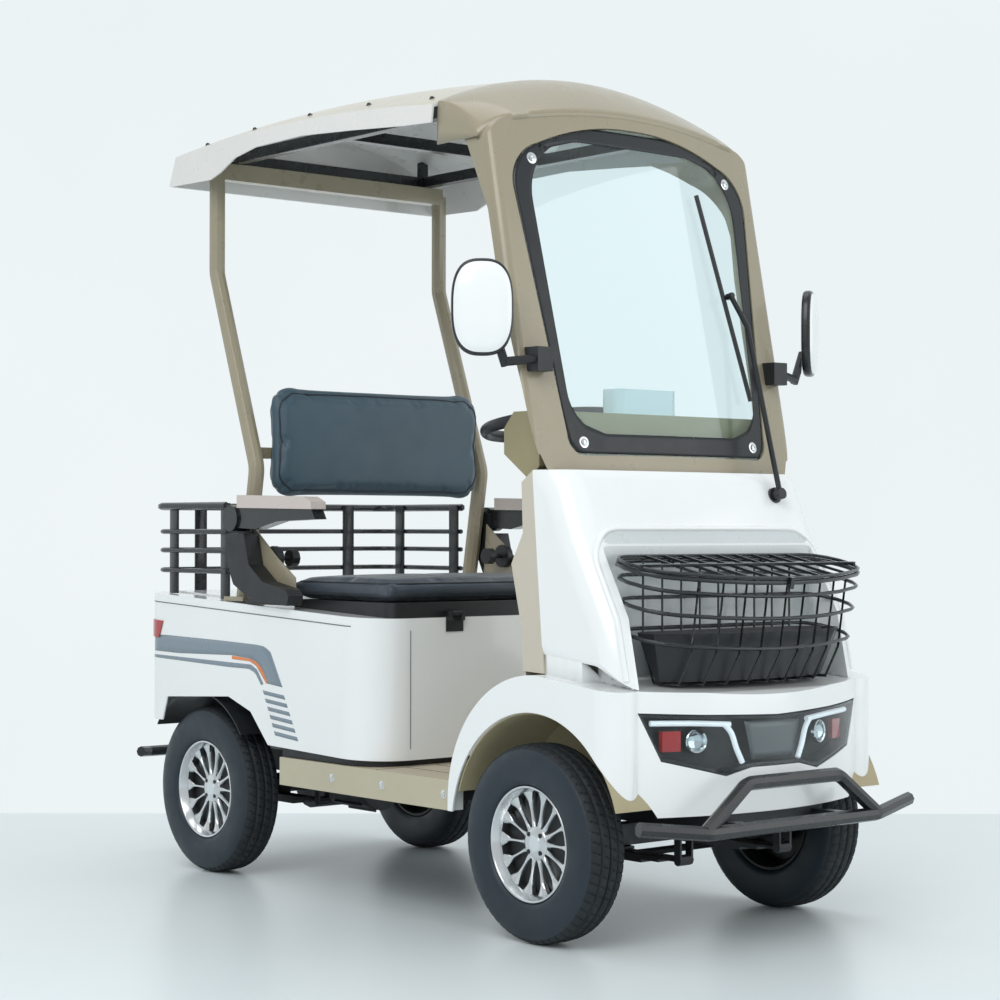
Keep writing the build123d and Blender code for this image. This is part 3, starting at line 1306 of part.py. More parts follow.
node("mirror_heads", both(mirror_head()))
node("basket_wire", basket_wire())
node("basket_tub", basket_tub())
node("basket_lid", basket_lid())
node("tail_lamps", tail_lamps())
node("wiper", wiper())
node("wiper_boss", wiper_boss())

for name, shape in NODES.items():
    export_step(shape, "parts/" + name + ".step")
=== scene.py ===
import json
from math import cos, pi, radians, sin, sqrt

import bmesh
import bpy
import numpy as np
from mathutils import Matrix, Vector
from mathutils.bvhtree import BVHTree

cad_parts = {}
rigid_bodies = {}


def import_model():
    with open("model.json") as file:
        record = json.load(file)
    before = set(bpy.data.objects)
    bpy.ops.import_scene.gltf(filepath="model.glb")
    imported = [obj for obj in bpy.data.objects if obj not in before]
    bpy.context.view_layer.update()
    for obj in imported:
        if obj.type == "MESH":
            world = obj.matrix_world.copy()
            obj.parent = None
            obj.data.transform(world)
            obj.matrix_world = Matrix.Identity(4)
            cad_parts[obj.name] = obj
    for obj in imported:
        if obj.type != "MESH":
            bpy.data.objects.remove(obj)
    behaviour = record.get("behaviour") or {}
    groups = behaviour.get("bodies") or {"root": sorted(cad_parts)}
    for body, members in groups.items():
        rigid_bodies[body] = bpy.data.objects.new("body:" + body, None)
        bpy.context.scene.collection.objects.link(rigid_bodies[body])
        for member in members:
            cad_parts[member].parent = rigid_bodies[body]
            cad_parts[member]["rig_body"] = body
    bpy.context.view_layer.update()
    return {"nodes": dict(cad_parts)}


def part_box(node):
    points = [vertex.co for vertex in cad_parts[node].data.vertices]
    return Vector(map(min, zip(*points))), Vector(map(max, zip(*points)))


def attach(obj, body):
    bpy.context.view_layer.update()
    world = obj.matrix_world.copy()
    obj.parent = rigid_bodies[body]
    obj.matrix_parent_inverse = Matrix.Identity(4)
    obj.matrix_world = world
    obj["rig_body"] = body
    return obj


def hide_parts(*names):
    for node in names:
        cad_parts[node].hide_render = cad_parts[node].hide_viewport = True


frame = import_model()
nodes = frame["nodes"]
scene = bpy.context.scene

# Sizes below are in millimetres unless a name says otherwise
MM = 0.001
SIDES = (("R", -1), ("L", 1))
# Rays on the part start this far out, from the front, a side or above
FAR_FRONT = 1500.0
FAR_SIDE = 900.0
FAR_ABOVE = 2200.0
# The common width of a rounded edge
EDGE = 1.5


# Materials

# How finely a finish's tone and its gloss vary
TONE_SCALE = 4.0
GLOSS_SCALE = 28.0


def paint(r, g, b):
    """A linear colour from 8-bit sRGB values."""
    linear = [c / 255 / 12.92 if c < 11 else ((c / 255 + 0.055) / 1.055) ** 2.4 for c in (r, g, b)]
    return (*linear, 1.0)


def shade(colour, factor):
    return (*[min(1.0, c * factor) for c in colour[:3]], 1.0)


class Graph:
    """A short way to write a material's nodes."""

    def __init__(self, name):
        self.material = bpy.data.materials.new(name)
        self.material.use_nodes = True
        self.tree = self.material.node_tree
        self.shader = self.tree.nodes["Principled BSDF"]
        self.place = self.node("ShaderNodeTexCoord").outputs["Object"]

    def node(self, kind, **settings):
        made = self.tree.nodes.new(kind)
        for key, value in settings.items():
            setattr(made, key, value)
        return made

    def link(self, source, target):
        self.tree.links.new(source, target)

    def noise(self, scale, detail=4.0):
        made = self.node("ShaderNodeTexNoise")
        made.inputs["Scale"].default_value = scale
        made.inputs["Detail"].default_value = detail
        self.link(self.place, made.inputs["Vector"])
        return made.outputs["Fac"]

    def cells(self, scale):
        made = self.node("ShaderNodeTexVoronoi")
        made.inputs["Scale"].default_value = scale
        self.link(self.place, made.inputs["Vector"])
        return made.outputs["Distance"]

    def remap(self, value, low, high, start=0.3, end=0.7):
        made = self.node("ShaderNodeMapRange")
        made.inputs["From Min"].default_value = start
        made.inputs["From Max"].default_value = end
        made.inputs["To Min"].default_value = low
        made.inputs["To Max"].default_value = high
        self.link(value, made.inputs["Value"])
        return made.outputs["Result"]

    def blend(self, share, first, second):
        made = self.node("ShaderNodeMix", data_type="RGBA")
        self.link(share, made.inputs["Factor"])
        for slot, colour in ((6, first), (7, second)):
            if isinstance(colour, tuple):
                made.inputs[slot].default_value = colour
            else:
                self.link(colour, made.inputs[slot])
        return made.outputs[2]

    def bump(self, height, strength, distance):
        made = self.node("ShaderNodeBump")
        made.inputs["Strength"].default_value = strength
        made.inputs["Distance"].default_value = distance
        self.link(height, made.inputs["Height"])
        self.link(made.outputs["Normal"], self.shader.inputs["Normal"])


def finish(name, colour, rough, metal=0.0, tone=0.06, grain=None, coat=0.0, edge=0.0, sheen=0.0,
           leather=None):
    """A finish with tone and gloss that vary, a grain, and edges that wear lighter."""
    g = Graph(name)
    g.shader.inputs["Metallic"].default_value = metal
    g.shader.inputs["Coat Weight"].default_value = coat
    g.shader.inputs["Coat Roughness"].default_value = 0.06
    g.shader.inputs["Sheen Weight"].default_value = sheen
    mottle = g.remap(g.noise(TONE_SCALE), 0.0, 1.0)
    tint = g.blend(mottle, shade(colour, 1 - tone), shade(colour, 1 + tone))
    if edge:
        corner = g.node("ShaderNodeNewGeometry").outputs["Pointiness"]
        wear = g.remap(corner, 0.0, edge, 0.53, 0.62)
        tint = g.blend(wear, tint, shade(colour, 2.4))
    g.link(tint, g.shader.inputs["Base Color"])
    g.link(g.remap(g.noise(GLOSS_SCALE), rough * 0.85, rough * 1.18), g.shader.inputs["Roughness"])
    if leather:
        scale, strength = leather
        g.bump(g.cells(scale), strength, 0.0006)
    elif grain:
        scale, strength = grain
        g.bump(g.noise(scale, 2.0), strength, 0.0004)
    return g.material


def clear(name, colour, rough, ior=1.45):
    """Glass that lets the light through to what stands behind it."""
    g = Graph(name)
    g.shader.inputs["Base Color"].default_value = colour
    g.shader.inputs["Roughness"].default_value = rough
    g.shader.inputs["IOR"].default_value = ior
    g.shader.inputs["Transmission Weight"].default_value = 1.0
    g.link(g.remap(g.noise(6.0), rough * 0.6, rough * 1.6), g.shader.inputs["Roughness"])
    out = g.tree.nodes["Material Output"]
    through = g.node("ShaderNodeBsdfTransparent")
    through.inputs["Color"].default_value = colour
    mix = g.node("ShaderNodeMixShader")
    g.link(g.node("ShaderNodeLightPath").outputs["Is Shadow Ray"], mix.inputs[0])
    g.link(g.shader.outputs[0], mix.inputs[1])
    g.link(through.outputs[0], mix.inputs[2])
    g.link(mix.outputs[0], out.inputs["Surface"])
    return g.material


def glow(name, colour, strength):
    g = Graph(name)
    g.shader.inputs["Emission Color"].default_value = colour
    g.shader.inputs["Emission Strength"].default_value = strength
    g.link(g.blend(g.noise(30.0), colour, shade(colour, 0.9)), g.shader.inputs["Base Color"])
    return g.material


WHITE = finish("white_gloss", paint(241, 244, 244), 0.2, tone=0.012, grain=(420, 0.03), coat=0.6)
BEIGE = finish("beige_gloss", paint(154, 145, 123), 0.3, tone=0.03, grain=(300, 0.05), coat=0.35)
ROOF = finish("roof_beige", paint(190, 184, 166), 0.32, tone=0.03, grain=(300, 0.05), coat=0.3)
# A whiter copy of the roof's beige for its faces that don't face up, such as the flaps: a painted highlight
ROOF_PAINTED_HIGHLIGHT = finish("roof_painted_highlight", paint(224, 223, 220), 0.3, tone=0.02, grain=(300, 0.05), coat=0.3)
SILL = finish("sill_beige", paint(190, 183, 160), 0.42, tone=0.03, grain=(500, 0.2))
SHIELD = finish("shield_beige", paint(200, 193, 178), 0.4, tone=0.03, grain=(600, 0.25))
SLAT = finish("slat_beige", paint(182, 170, 150), 0.55, tone=0.05, grain=(900, 0.5), edge=0.2)
WELL = finish("well_beige", paint(176, 166, 134), 0.6, tone=0.08, grain=(500, 0.3))
DASH = finish("dash_beige", paint(148, 140, 108), 0.5, tone=0.06, grain=(900, 0.5))
POD = finish("pod_grey", paint(206, 216, 218), 0.2, tone=0.03, grain=(400, 0.05), coat=0.5)
CENTRE = finish("lamp_centre_grey", paint(72, 78, 80), 0.2, tone=0.05, grain=(400, 0.1), coat=0.5)
BLACK = finish("black_moulded", paint(30, 33, 36), 0.42, tone=0.12, grain=(900, 0.4), edge=0.15)
GLOSS_BLACK = finish("black_powder", paint(24, 28, 31), 0.28, tone=0.1, grain=(1200, 0.25), coat=0.25,
                     edge=0.15)
STEEL = finish("dark_steel", paint(62, 64, 66), 0.45, metal=0.8, tone=0.15, grain=(260, 0.35), edge=0.4)
RUBBER = finish("tyre_side", paint(28, 41, 51), 0.45, tone=0.1, grain=(700, 0.35))
TREAD = finish("tyre_tread", paint(27, 34, 39), 0.7, tone=0.15, grain=(420, 0.6))
ALLOY = finish("bright_alloy", paint(214, 217, 219), 0.2, metal=1.0, tone=0.04, grain=(500, 0.05))
CHROME = finish("chrome", paint(225, 229, 231), 0.07, metal=1.0, tone=0.02, grain=(300, 0.02))
BARREL = finish("barrel_black", paint(27, 29, 31), 0.4, metal=0.2, tone=0.1, grain=(300, 0.2))
SEAT = finish("seat_grain", paint(52, 63, 75), 0.42, tone=0.07, sheen=0.15, leather=(520, 0.35))
BACK = finish("seat_back_grain", paint(62, 84, 97), 0.42, tone=0.07, sheen=0.15, leather=(520, 0.35))
PIPING = finish("seat_piping", paint(34, 41, 48), 0.5, tone=0.05, leather=(800, 0.3))
PAD = finish("pad_soft", paint(209, 198, 192), 0.55, tone=0.03, leather=(700, 0.2))
BAND = finish("printed_band", paint(14, 22, 27), 0.3, tone=0.04, grain=(900, 0.08))
# A greyer white for the thin sheet inside the cowl's niche: painted shade that stands for the recess's shade
NICHE_PAINTED_SHADE = finish("painted_shade_niche", paint(204, 211, 212), 0.3, tone=0.02, grain=(420, 0.05), coat=0.3)
STRIPE = finish("stripe_grey", paint(122, 138, 150), 0.3, tone=0.03, grain=(500, 0.05), coat=0.4)
ORANGE = finish("stripe_orange", paint(226, 128, 62), 0.3, tone=0.03, grain=(500, 0.05), coat=0.4)
SEAM = finish("seam_dark", paint(112, 118, 120), 0.6, tone=0.05, grain=(500, 0.1))
SILVER = finish("mirror_silver", paint(214, 221, 226), 0.03, metal=1.0, tone=0.01, grain=(200, 0.01))
GLASS = clear("screen_glass", paint(232, 246, 248), 0.012)
LENS = clear("lamp_lens", paint(240, 246, 248), 0.015, ior=1.3)
RED = finish("lamp_red", paint(170, 22, 24), 0.12, tone=0.08, grain=(200, 0.3), coat=0.6)
GUIDE = glow("light_guide", paint(240, 246, 250), 0.35)


# Mesh code

class Shape:
    """Collects skins of points and makes one object of them."""

    def __init__(self):
        self.points = []
        self.faces = []
        self.marks = []

    def skin(self, rings, mark=0, around=True, closed=False, caps=False):
        """Quads between rings of equally many points."""
        rings = np.asarray(rings, dtype=float)
        count, size = rings.shape[:2]
        base = len(self.points)
        self.points += rings.reshape(-1, 3).tolist()
        spans = count if closed else count - 1
        steps = size if around else size - 1
        for i in range(spans):
            here = base + i * size
            there = base + (i + 1) % count * size
            for j in range(steps):
                k = (j + 1) % size
                self.faces.append((here + j, here + k, there + k, there + j))
                self.marks.append(mark)
        if caps:
            self.faces.append(tuple(range(base, base + size)))
            self.faces.append(tuple(range(base + (count - 1) * size, base + count * size)))
            self.marks += [mark, mark]
        return self

    def make(self, name, materials, body, flip_x=False, at=(0, 0, 0), sharp=35, thick=0.0):
        mesh = bpy.data.meshes.new(name)
        points = np.array(self.points)
        if flip_x:
            points[:, 0] *= -1
        points = (points + np.array(at)) * MM
        mesh.from_pydata(points.tolist(), [], self.faces)
        mesh.polygons.foreach_set("material_index", self.marks)
        for material in materials:
            mesh.materials.append(material)
        work = bmesh.new()
        work.from_mesh(mesh)
        bmesh.ops.remove_doubles(work, verts=work.verts, dist=1e-6)
        bmesh.ops.recalc_face_normals(work, faces=work.faces)
        work.to_mesh(mesh)
        work.free()
        mesh.shade_smooth()
        mesh.set_sharp_from_angle(angle=radians(sharp))
        piece = bpy.data.objects.new(name, mesh)
        scene.collection.objects.link(piece)
        if thick:
            shell = piece.modifiers.new("thick", "SOLIDIFY")
            shell.thickness = thick * MM
            shell.offset = 0.0
        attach(piece, body)
        return piece


def basis(axis, hint=(0, 0, 1)):
    """Two directions square to an axis, and the axis itself."""
    w = Vector(axis).normalized()
    u = Vector(hint).cross(w)
    if u.length < 1e-6:
        u = Vector((1, 0, 0)).cross(w)
    u.normalize()
    return np.array(u), np.array(w.cross(u)), np.array(w)


def lathe(profile, steps, centre=(0, 0, 0), axis=(1, 0, 0)):
    """Rings of a turned form. The profile has (distance along the axis, radius)."""
    u, v, w = basis(axis)
    turns = np.arange(steps) * 2 * pi / steps
    round_ = np.cos(turns)[:, None] * u + np.sin(turns)[:, None] * v
    return [np.array(centre) + a * w + r * round_ for a, r in profile]


def tube(points, r, sides=8, closed=False):
    """Rings of a round tube along points."""
    points = [Vector(p) for p in points]
    count = len(points)
    rings = []
    normal = None
    for i, p in enumerate(points):
        before = points[i - 1] if closed or i else p
        after = points[(i + 1) % count] if closed or i < count - 1 else p
        way = (after - before).normalized()
        if normal is None:
            normal = way.orthogonal().normalized()
        normal = (normal - way * normal.dot(way)).normalized()
        other = way.cross(normal)
        turns = [2 * pi * k / sides for k in range(sides)]
        rings.append([p + (normal * cos(a) + other * sin(a)) * r for a in turns])
    return rings


def smooth(points, steps):
    """A Catmull-Rom line through points."""
    p = np.array([points[0], *points, points[-1]], dtype=float)
    line = []
    for i in range(1, len(p) - 2):
        for t in np.linspace(0, 1, steps, endpoint=False):
            a = 2 * p[i] + (p[i + 1] - p[i - 1]) * t
            b = (2 * p[i - 1] - 5 * p[i] + 4 * p[i + 1] - p[i + 2]) * t ** 2
            c = (3 * p[i] - p[i - 1] - 3 * p[i + 1] + p[i + 2]) * t ** 3
            line.append((a + b + c) / 2)
    line.append(p[-2])
    return np.array(line)


def along(points, count):
    """Points evenly spaced along a line of straight runs."""
    p = np.array(points, dtype=float)
    runs = np.r_[0, np.cumsum(np.linalg.norm(np.diff(p, axis=0), axis=1))]
    at = np.linspace(0, runs[-1], count)
    return np.stack([np.interp(at, runs, p[:, k]) for k in range(p.shape[1])], axis=1)


def tree_of(piece):
    return BVHTree.FromPolygons([v.co[:] for v in piece.data.vertices],
                                [tuple(f.vertices) for f in piece.data.polygons])


def cast(tree, start, way, lift=0.0):
    """Where a ray meets a surface, in millimetres, lifted off it."""
    hit, normal, _, _ = tree.ray_cast(Vector(start) * MM, Vector(way).normalized())
    if hit is None:
        return None
    if normal.dot(Vector(way)) > 0:
        normal = -normal
    return (hit / MM + normal * lift), normal


def from_front(tree, x, z, lift=0.0):
    return cast(tree, (x, -FAR_FRONT, z), (0, 1, 0), lift)


def from_side(tree, side, y, z, lift=0.0):
    return cast(tree, (side * FAR_SIDE, y, z), (-side, 0, 0), lift)


def from_above(tree, x, y):
    return cast(tree, (x, y, FAR_ABOVE), (0, 0, -1))


def dress(node, *materials, bevel=EDGE):
    """Gives a CAD piece its material, rounded edges and smooth shading."""
    piece = nodes[node]
    piece.data.materials.clear()
    for material in materials:
        piece.data.materials.append(material)
    piece.data.shade_smooth()
    weld = piece.modifiers.new("weld", "WELD")
    weld.merge_threshold = 1e-5
    if bevel:
        edge = piece.modifiers.new("edge", "BEVEL")
        edge.width = bevel * MM
        edge.segments = 2
        edge.limit_method = "ANGLE"
        edge.angle_limit = radians(32)
    even = piece.modifiers.new("even", "WEIGHTED_NORMAL")
    even.weight = 80
    return piece


def mark(piece, test, index=1):
    """Gives the faces of a CAD piece that pass a test another material."""
    for face in piece.data.polygons:
        if test(face.center / MM, face.normal):
            face.material_index = index


def body_of(node):
    return nodes[node]["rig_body"]


# Wheels, turned about X with the outside towards +X. Their lines hold (place across, radius)

WHEEL_Z = 195.0
AXLE_Y = {"front": -600.0, "rear": 600.0}
TRACK = {"front": 672.0, "rear": 625.0}
BEAD = (38, 114.6)
TYRE_SIDE = (BEAD, (43.5, 117.5), (47.5, 126), (49.3, 146), (48.6, 164), (45.6, 178), (41.5, 186),
             (35, 191.5), (24, 194.2), (10, 194.95), (0, WHEEL_Z))
TYRE_STEPS = 420
CROWN_R = 183
GROOVE_X = 21
GROOVE_DEPTH = 5.5
GROOVE_HALF = 2.2
GROOVE_CLEAR = 4
SIPES = 60
SIPE_DEPTH = 3.6
SIPE_SLANT = 0.018
TREAD_HALF = 42.5
TREAD_R = 180
SPOKES = 14
SPOKE_END_R = 101.5
SPOKE_FLARE = 0.72
LUGS = 4
LUG_RING_R = 24
WELL_R = 96.0
HUB_R = 34.0
RIM_LIP = ((37.5, 108.5), (38.5, 113.6), (40, 114), (42, 113.2), (42, 110), (39, 108), (30, 103.5),
           (24, 101))
RIM_BARREL = ((24, 101), (14, WELL_R + 1), (-22, WELL_R), (-42, 108), (-42, 113.5), (-38, 113.8),
              (-37.5, 108.5), (37.5, 108.5))
BRAKE_DISC = ((6, 20), (6, 99), (9, 99), (9, 20))
HUB_LINE = ((-6, 0.2), (-6, 33), (12, HUB_R), (19, HUB_R), (22.5, 32), (24.5, 27), (25.2, 20), (25.4, 16.2))
HUB_CAP = ((25.2, 16.4), (25.9, 15.5), (26.0, 12), (25.9, 6), (25.9, 0.1))
LUG_RECESS = ((25.6, 4.8), (25.8, 4.2), (25.2, 3.2), (25.0, 0.1))


def tyre():
    """A tyre with three grooves round it and slanted sipes."""
    half = smooth(TYRE_SIDE, 5)
    line = np.vstack([half, (half[::-1] * (-1, 1))[1:]])
    x = line[:, 0][None, :]
    r = np.repeat(line[:, 1][None, :], TYRE_STEPS, axis=0)
    turn = (np.arange(TYRE_STEPS) / TYRE_STEPS)[:, None]
    crown = np.clip((r - CROWN_R) / 5, 0, 1)
    for place in (-GROOVE_X, 0, GROOVE_X):
        r = r - GROOVE_DEPTH * np.clip(1.6 - np.abs(x - place) / GROOVE_HALF, 0, 1) * crown
    slant = (turn * SIPES + np.sign(x) * np.abs(x) * SIPE_SLANT) % 1
    sipe = np.clip(1.5 - np.abs(slant - 0.5) * 14, 0, 1)
    off_side = np.clip((np.abs(np.abs(x) - GROOVE_X) - GROOVE_CLEAR) / 1.5, 0, 1)
    off_middle = np.clip((np.abs(x) - GROOVE_CLEAR) / 1.5, 0, 1)
    r = r - SIPE_DEPTH * sipe * (off_side * off_middle) * crown
    angle = turn * 2 * pi
    rings = np.stack([np.broadcast_to(x, r.shape), r * np.cos(angle), r * np.sin(angle)], axis=-1)
    made = Shape().skin(rings, closed=True, around=False)
    for index, points in enumerate(made.faces):
        if np.mean([abs(made.points[k][0]) for k in points]) < TREAD_HALF:
            radius = np.mean([sqrt(made.points[k][1] ** 2 + made.points[k][2] ** 2) for k in points])
            made.marks[index] = 1 if radius > TREAD_R else 0
    across, radius = BEAD
    bead = [BEAD, (across - 2, 110), (2 - across, 110), (-across, radius)]
    made.skin(lathe(bead, TYRE_STEPS), 0)
    return made


def rim():
    """A turned barrel with a bright lip, swept spokes and a hub with lug recesses."""
    made = Shape()
    made.skin(lathe(smooth(RIM_LIP, 3).tolist(), 120), 0)
    made.skin(lathe(RIM_BARREL, 120), 1)
    # Spokes narrow in the middle and flare into the barrel
    root_r = HUB_R - 3
    for i in range(SPOKES):
        turn = 2 * pi * i / SPOKES
        out = np.array((0, cos(turn), sin(turn)))
        side = np.array((0, -sin(turn), cos(turn)))
        rings = []
        for share in np.linspace(0, 1, 12):
            radius = root_r + (SPOKE_END_R - root_r) * share
            waist = 2.4 * sin(pi * min(1, share * 1.25))
            flare = 9.5 * max(0, share - SPOKE_FLARE) ** 1.3 / (1 - SPOKE_FLARE) ** 1.3
            half = 5.6 - waist + flare
            face = 22.5 + 3.5 * share ** 2 - 2.5 * sin(pi * share)
            section = [(-1, face - 12), (-1, face - 3), (-0.55, face - 0.4), (0, face), (0.55, face - 0.4),
                       (1, face - 3), (1, face - 12)]
            rings.append([out * radius + side * half * s + np.array((x, 0, 0)) for s, x in section])
        made.skin(rings, 0, caps=True)
    made.skin(lathe(BRAKE_DISC, 60), 1, closed=True)
    made.skin(lathe(smooth(HUB_LINE, 3).tolist(), 64), 0)
    made.skin(lathe(smooth(HUB_CAP, 3).tolist(), 48), 2)
    for i in range(LUGS):
        turn = 2 * pi * (i + 0.5) / LUGS
        spot = (0, LUG_RING_R * cos(turn), LUG_RING_R * sin(turn))
        made.skin(lathe(LUG_RECESS, 18, spot), 1)
    return made


def wheels():
    tyre_form = tyre()
    rim_form = rim()
    for end in ("front", "rear"):
        for name, side in SIDES:
            centre = (side * TRACK[end] / 2, AXLE_Y[end], WHEEL_Z)
            body = f"wheel_{end}_{name}"
            right = side < 0
            piece = tyre_form.make(f"tyre_shown_{end}_{name}", [RUBBER, TREAD], body, right, centre, 50)
            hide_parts(f"tyre_{end}_{name}")
            finishes = [ALLOY, BARREL, CHROME]
            piece = rim_form.make(f"rim_shown_{end}_{name}", finishes, body, right, centre, 40)
            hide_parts(f"rim_{end}_{name}")


# Seat

CLOTH_FRAMES = 20
PRESSURE = 4
VOXEL = 6.0
BLOW_CAP = 16
CUSHION = ((-322.0, -80.0, 650.6), (322.0, 300.0, 706.3))
BACKREST = ((-306.0, 366.0, 880.0), (306.0, 428.0, 1142.0))
BACK_CORNER = 62.0
# Where the piping runs: heights on the cushion and depths on the seat back
CUSHION_PIPING_Z = (690.0, 662.0)
BACK_PIPING_Y = (383.0, 414.0)
PIPING_R = 2.0
PIPING_STEPS = 96


def inflated(name, low, high, corner):
    """A padded form: a rounded block, remeshed and blown up as cloth under pressure."""
    middle = (Vector(low) + Vector(high)) / 2
    size = Vector(high) - Vector(low)
    work = bmesh.new()
    bmesh.ops.create_cube(work, size=1)
    for vertex in work.verts:
        vertex.co = Vector([middle[k] + vertex.co[k] * size[k] for k in range(3)]) * MM
    bmesh.ops.bevel(work, geom=work.edges[:], offset=corner * MM, segments=4, profile=0.6, affect="EDGES")
    mesh = bpy.data.meshes.new(name)
    work.to_mesh(mesh)
    work.free()
    piece = bpy.data.objects.new(name, mesh)
    scene.collection.objects.link(piece)
    remesh = piece.modifiers.new("remesh", "REMESH")
    remesh.mode = "VOXEL"
    remesh.voxel_size = VOXEL * MM
    grid = bpy.data.meshes.new_from_object(piece.evaluated_get(bpy.context.evaluated_depsgraph_get()))
    piece.modifiers.clear()
    piece.data = grid
    start = np.array([v.co[:] for v in grid.vertices])
    cloth = piece.modifiers.new("cloth", "CLOTH")
    cloth.settings.use_pressure = True
    cloth.settings.uniform_pressure_force = PRESSURE
    cloth.settings.effector_weights.gravity = 0
    cloth.settings.quality = 4
    cloth.point_cache.frame_start = 1
    cloth.point_cache.frame_end = CLOTH_FRAMES
    for number in range(1, CLOTH_FRAMES + 1):
        scene.frame_set(number)
    blown = bpy.data.meshes.new_from_object(piece.evaluated_get(bpy.context.evaluated_depsgraph_get()))
    end = np.array([v.co[:] for v in blown.vertices])
    piece.modifiers.clear()
    scene.frame_set(1)
    move = end - start
    length = np.linalg.norm(move, axis=1, keepdims=True)
    start = start + move * np.minimum(1, BLOW_CAP * MM / np.maximum(length, 1e-9))
    grid.vertices.foreach_set("co", start.ravel())
    return piece


def settle(piece, low, high, crown):
    """Scales a blown form into its box and gives it its crown."""
    points = np.array([v.co[:] for v in piece.data.vertices]) / MM
    now_low = points.min(0)
    now_high = points.max(0)
    points = low + (points - now_low) / (now_high - now_low) * (high - low)
    points = crown(points)
    piece.data.vertices.foreach_set("co", (points * MM).ravel())
    piece.data.update()
    finer = piece.modifiers.new("finer", "SUBSURF")
    finer.levels = 1
    finer.render_levels = 1
    piece.data.shade_smooth()


def ring_on(piece, middle, v, reach):
    """A closed tube that follows a soft form's surface, in the plane of X and v through a point."""
    tree = tree_of(piece)
    points = []
    for turn in np.arange(PIPING_STEPS) * 2 * pi / PIPING_STEPS:
        way = Vector((1, 0, 0)) * cos(turn) * reach[0] + Vector(v) * sin(turn) * reach[1]
        found = cast(tree, Vector(middle) + way * 2, -way, 0.2)
        if found:
            points.append(found[0])
    return tube(points, PIPING_R, 8, True)


def soft(piece, node, material):
    """The padded form stands for its CAD node."""
    piece.data.materials.append(material)
    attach(piece, body_of(node))
    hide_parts(node)


def cushion():
    low, high = np.array(CUSHION)
    middle = (low + high) / 2
    reach = (high - low) / 2
    piece = inflated("seat_cushion_shown", low + (8, 8, 6), high - (8, 8, 8), 20)

    def crown(points):
        across = np.abs(points[:, 0]) / reach[0]
        deep = np.abs(points[:, 1] - middle[1]) / reach[1]
        top = np.clip((points[:, 2] - 672) / 30, 0, 1)
        points[:, 2] -= top * (5.0 * across ** 3 + 5.0 * deep ** 3)
        points[:, 2] -= top * 1.6 * np.exp(-((points[:, 0]) / 26) ** 2)
        waist = np.exp(-((points[:, 2] - 678) / 12) ** 2)
        points[:, 0] *= 1 - 0.008 * waist
        return points

    settle(piece, low, high, crown)
    soft(piece, "seat_cushion", SEAT)
    seams = Shape()
    for z in CUSHION_PIPING_Z:
        seams.skin(ring_on(piece, (0, middle[1], z), (0, 1, 0), (330, 200)), closed=True)
    seams.make("seat_cushion_piping", [PIPING], body_of("seat_cushion"))


def seat_back():
    low, high = np.array(BACKREST)
    middle = (low + high) / 2
    reach = (high - low) / 2
    piece = inflated("seat_back_shown", low + (8, 6, 8), high - (8, 6, 8), 22)

    def bow(points):
        across = np.abs(points[:, 0]) / reach[0]
        up = np.abs(points[:, 2] - middle[2]) / reach[2]
        front = np.clip((400 - points[:, 1]) / 30, 0, 1)
        points[:, 1] += front * (7 * across ** 3 + 8 * up ** 3)
        # The corners are drawn in to a radius
        dx = np.maximum(0, np.abs(points[:, 0]) - (reach[0] - BACK_CORNER))
        dz = np.maximum(0, np.abs(points[:, 2] - middle[2]) - (reach[2] - BACK_CORNER))
        far = np.sqrt(dx ** 2 + dz ** 2)
        square = np.maximum(dx, dz)
        share = np.where(far > 0, square / np.maximum(far, 1e-6), 1)
        points[:, 0] -= np.sign(points[:, 0]) * dx * (1 - share)
        points[:, 2] -= np.sign(points[:, 2] - middle[2]) * dz * (1 - share)
        return points

    settle(piece, low, high, bow)
    soft(piece, "seat_back", BACK)
    seams = Shape()
    for y in BACK_PIPING_Y:
        seams.skin(ring_on(piece, (0, y, middle[2]), (0, 0, 1), (310, 135)), closed=True)
    seams.make("seat_back_piping", [PIPING], body_of("seat_back"))


# Steering wheel

STEER_C = (0.0, -247.0, 1035.0)
STEER_TILT = 8.0
STEER_RING_R = 151.0
STEER_SPOKES_AT = (90, 210, 330)
STEER_HUB = ((-45, 0.2), (-45, 44), (-20, 46), (-16, 44), (-14.5, 36), (-14, 0.2))
# A spoke's section as (share of its half width, height)
STEER_SPOKE = ((-1, 0), (-0.8, 4), (0, 6), (0.8, 4), (1, 0), (0, -3))


def steering():
    axis = (0, sin(radians(STEER_TILT)), cos(radians(STEER_TILT)))
    u, v, w = basis(axis, (0, 1, 0))
    made = Shape()
    circle = [(13.2 * sin(a), STEER_RING_R + 11.5 * cos(a)) for a in np.arange(16) * 2 * pi / 16]
    made.skin(lathe(circle, 96, STEER_C, axis), 0, closed=True)
    made.skin(lathe(smooth(STEER_HUB, 3).tolist(), 48, STEER_C, axis), 0)
    for turn in STEER_SPOKES_AT:
        out = -u * cos(radians(turn)) + v * sin(radians(turn))
        side = np.cross(w, out)
        rings = []
        for share in np.linspace(0, 1, 9):
            radius = 34 + (STEER_RING_R - 38) * share
            drop = -22 + 20 * share ** 2
            half = 15 - 4 * sin(pi * share)
            middle = np.array(STEER_C) + out * radius
            rings.append([middle + side * half * s + w * (drop + h) for s, h in STEER_SPOKE])
        made.skin(rings, 0, caps=True)
    piece = made.make("steering_wheel_shown", [BLACK], body_of("steering_wheel"), sharp=45)
    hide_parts("steering_wheel")


# Windscreen band, bolts and seams

SCREEN_MID_Z = 1300.0
# The clear field's half width, as (height, half width) at two heights
FIELD_HALF_LOW = (1230.0, 274.0)
FIELD_HALF_HIGH = (1428.0, 285.0)
BAND_LOW_Z = 1000.0
BAND_HIGH_Z = 1604.0
BAND_CORNER = {BAND_LOW_Z: 80.0, BAND_HIGH_Z: 135.0}
BAND_ROWS = 36
BAND_STEPS = 240
BAND_LIFT = 0.5
GLASS_SEARCH_X = (340, 240)


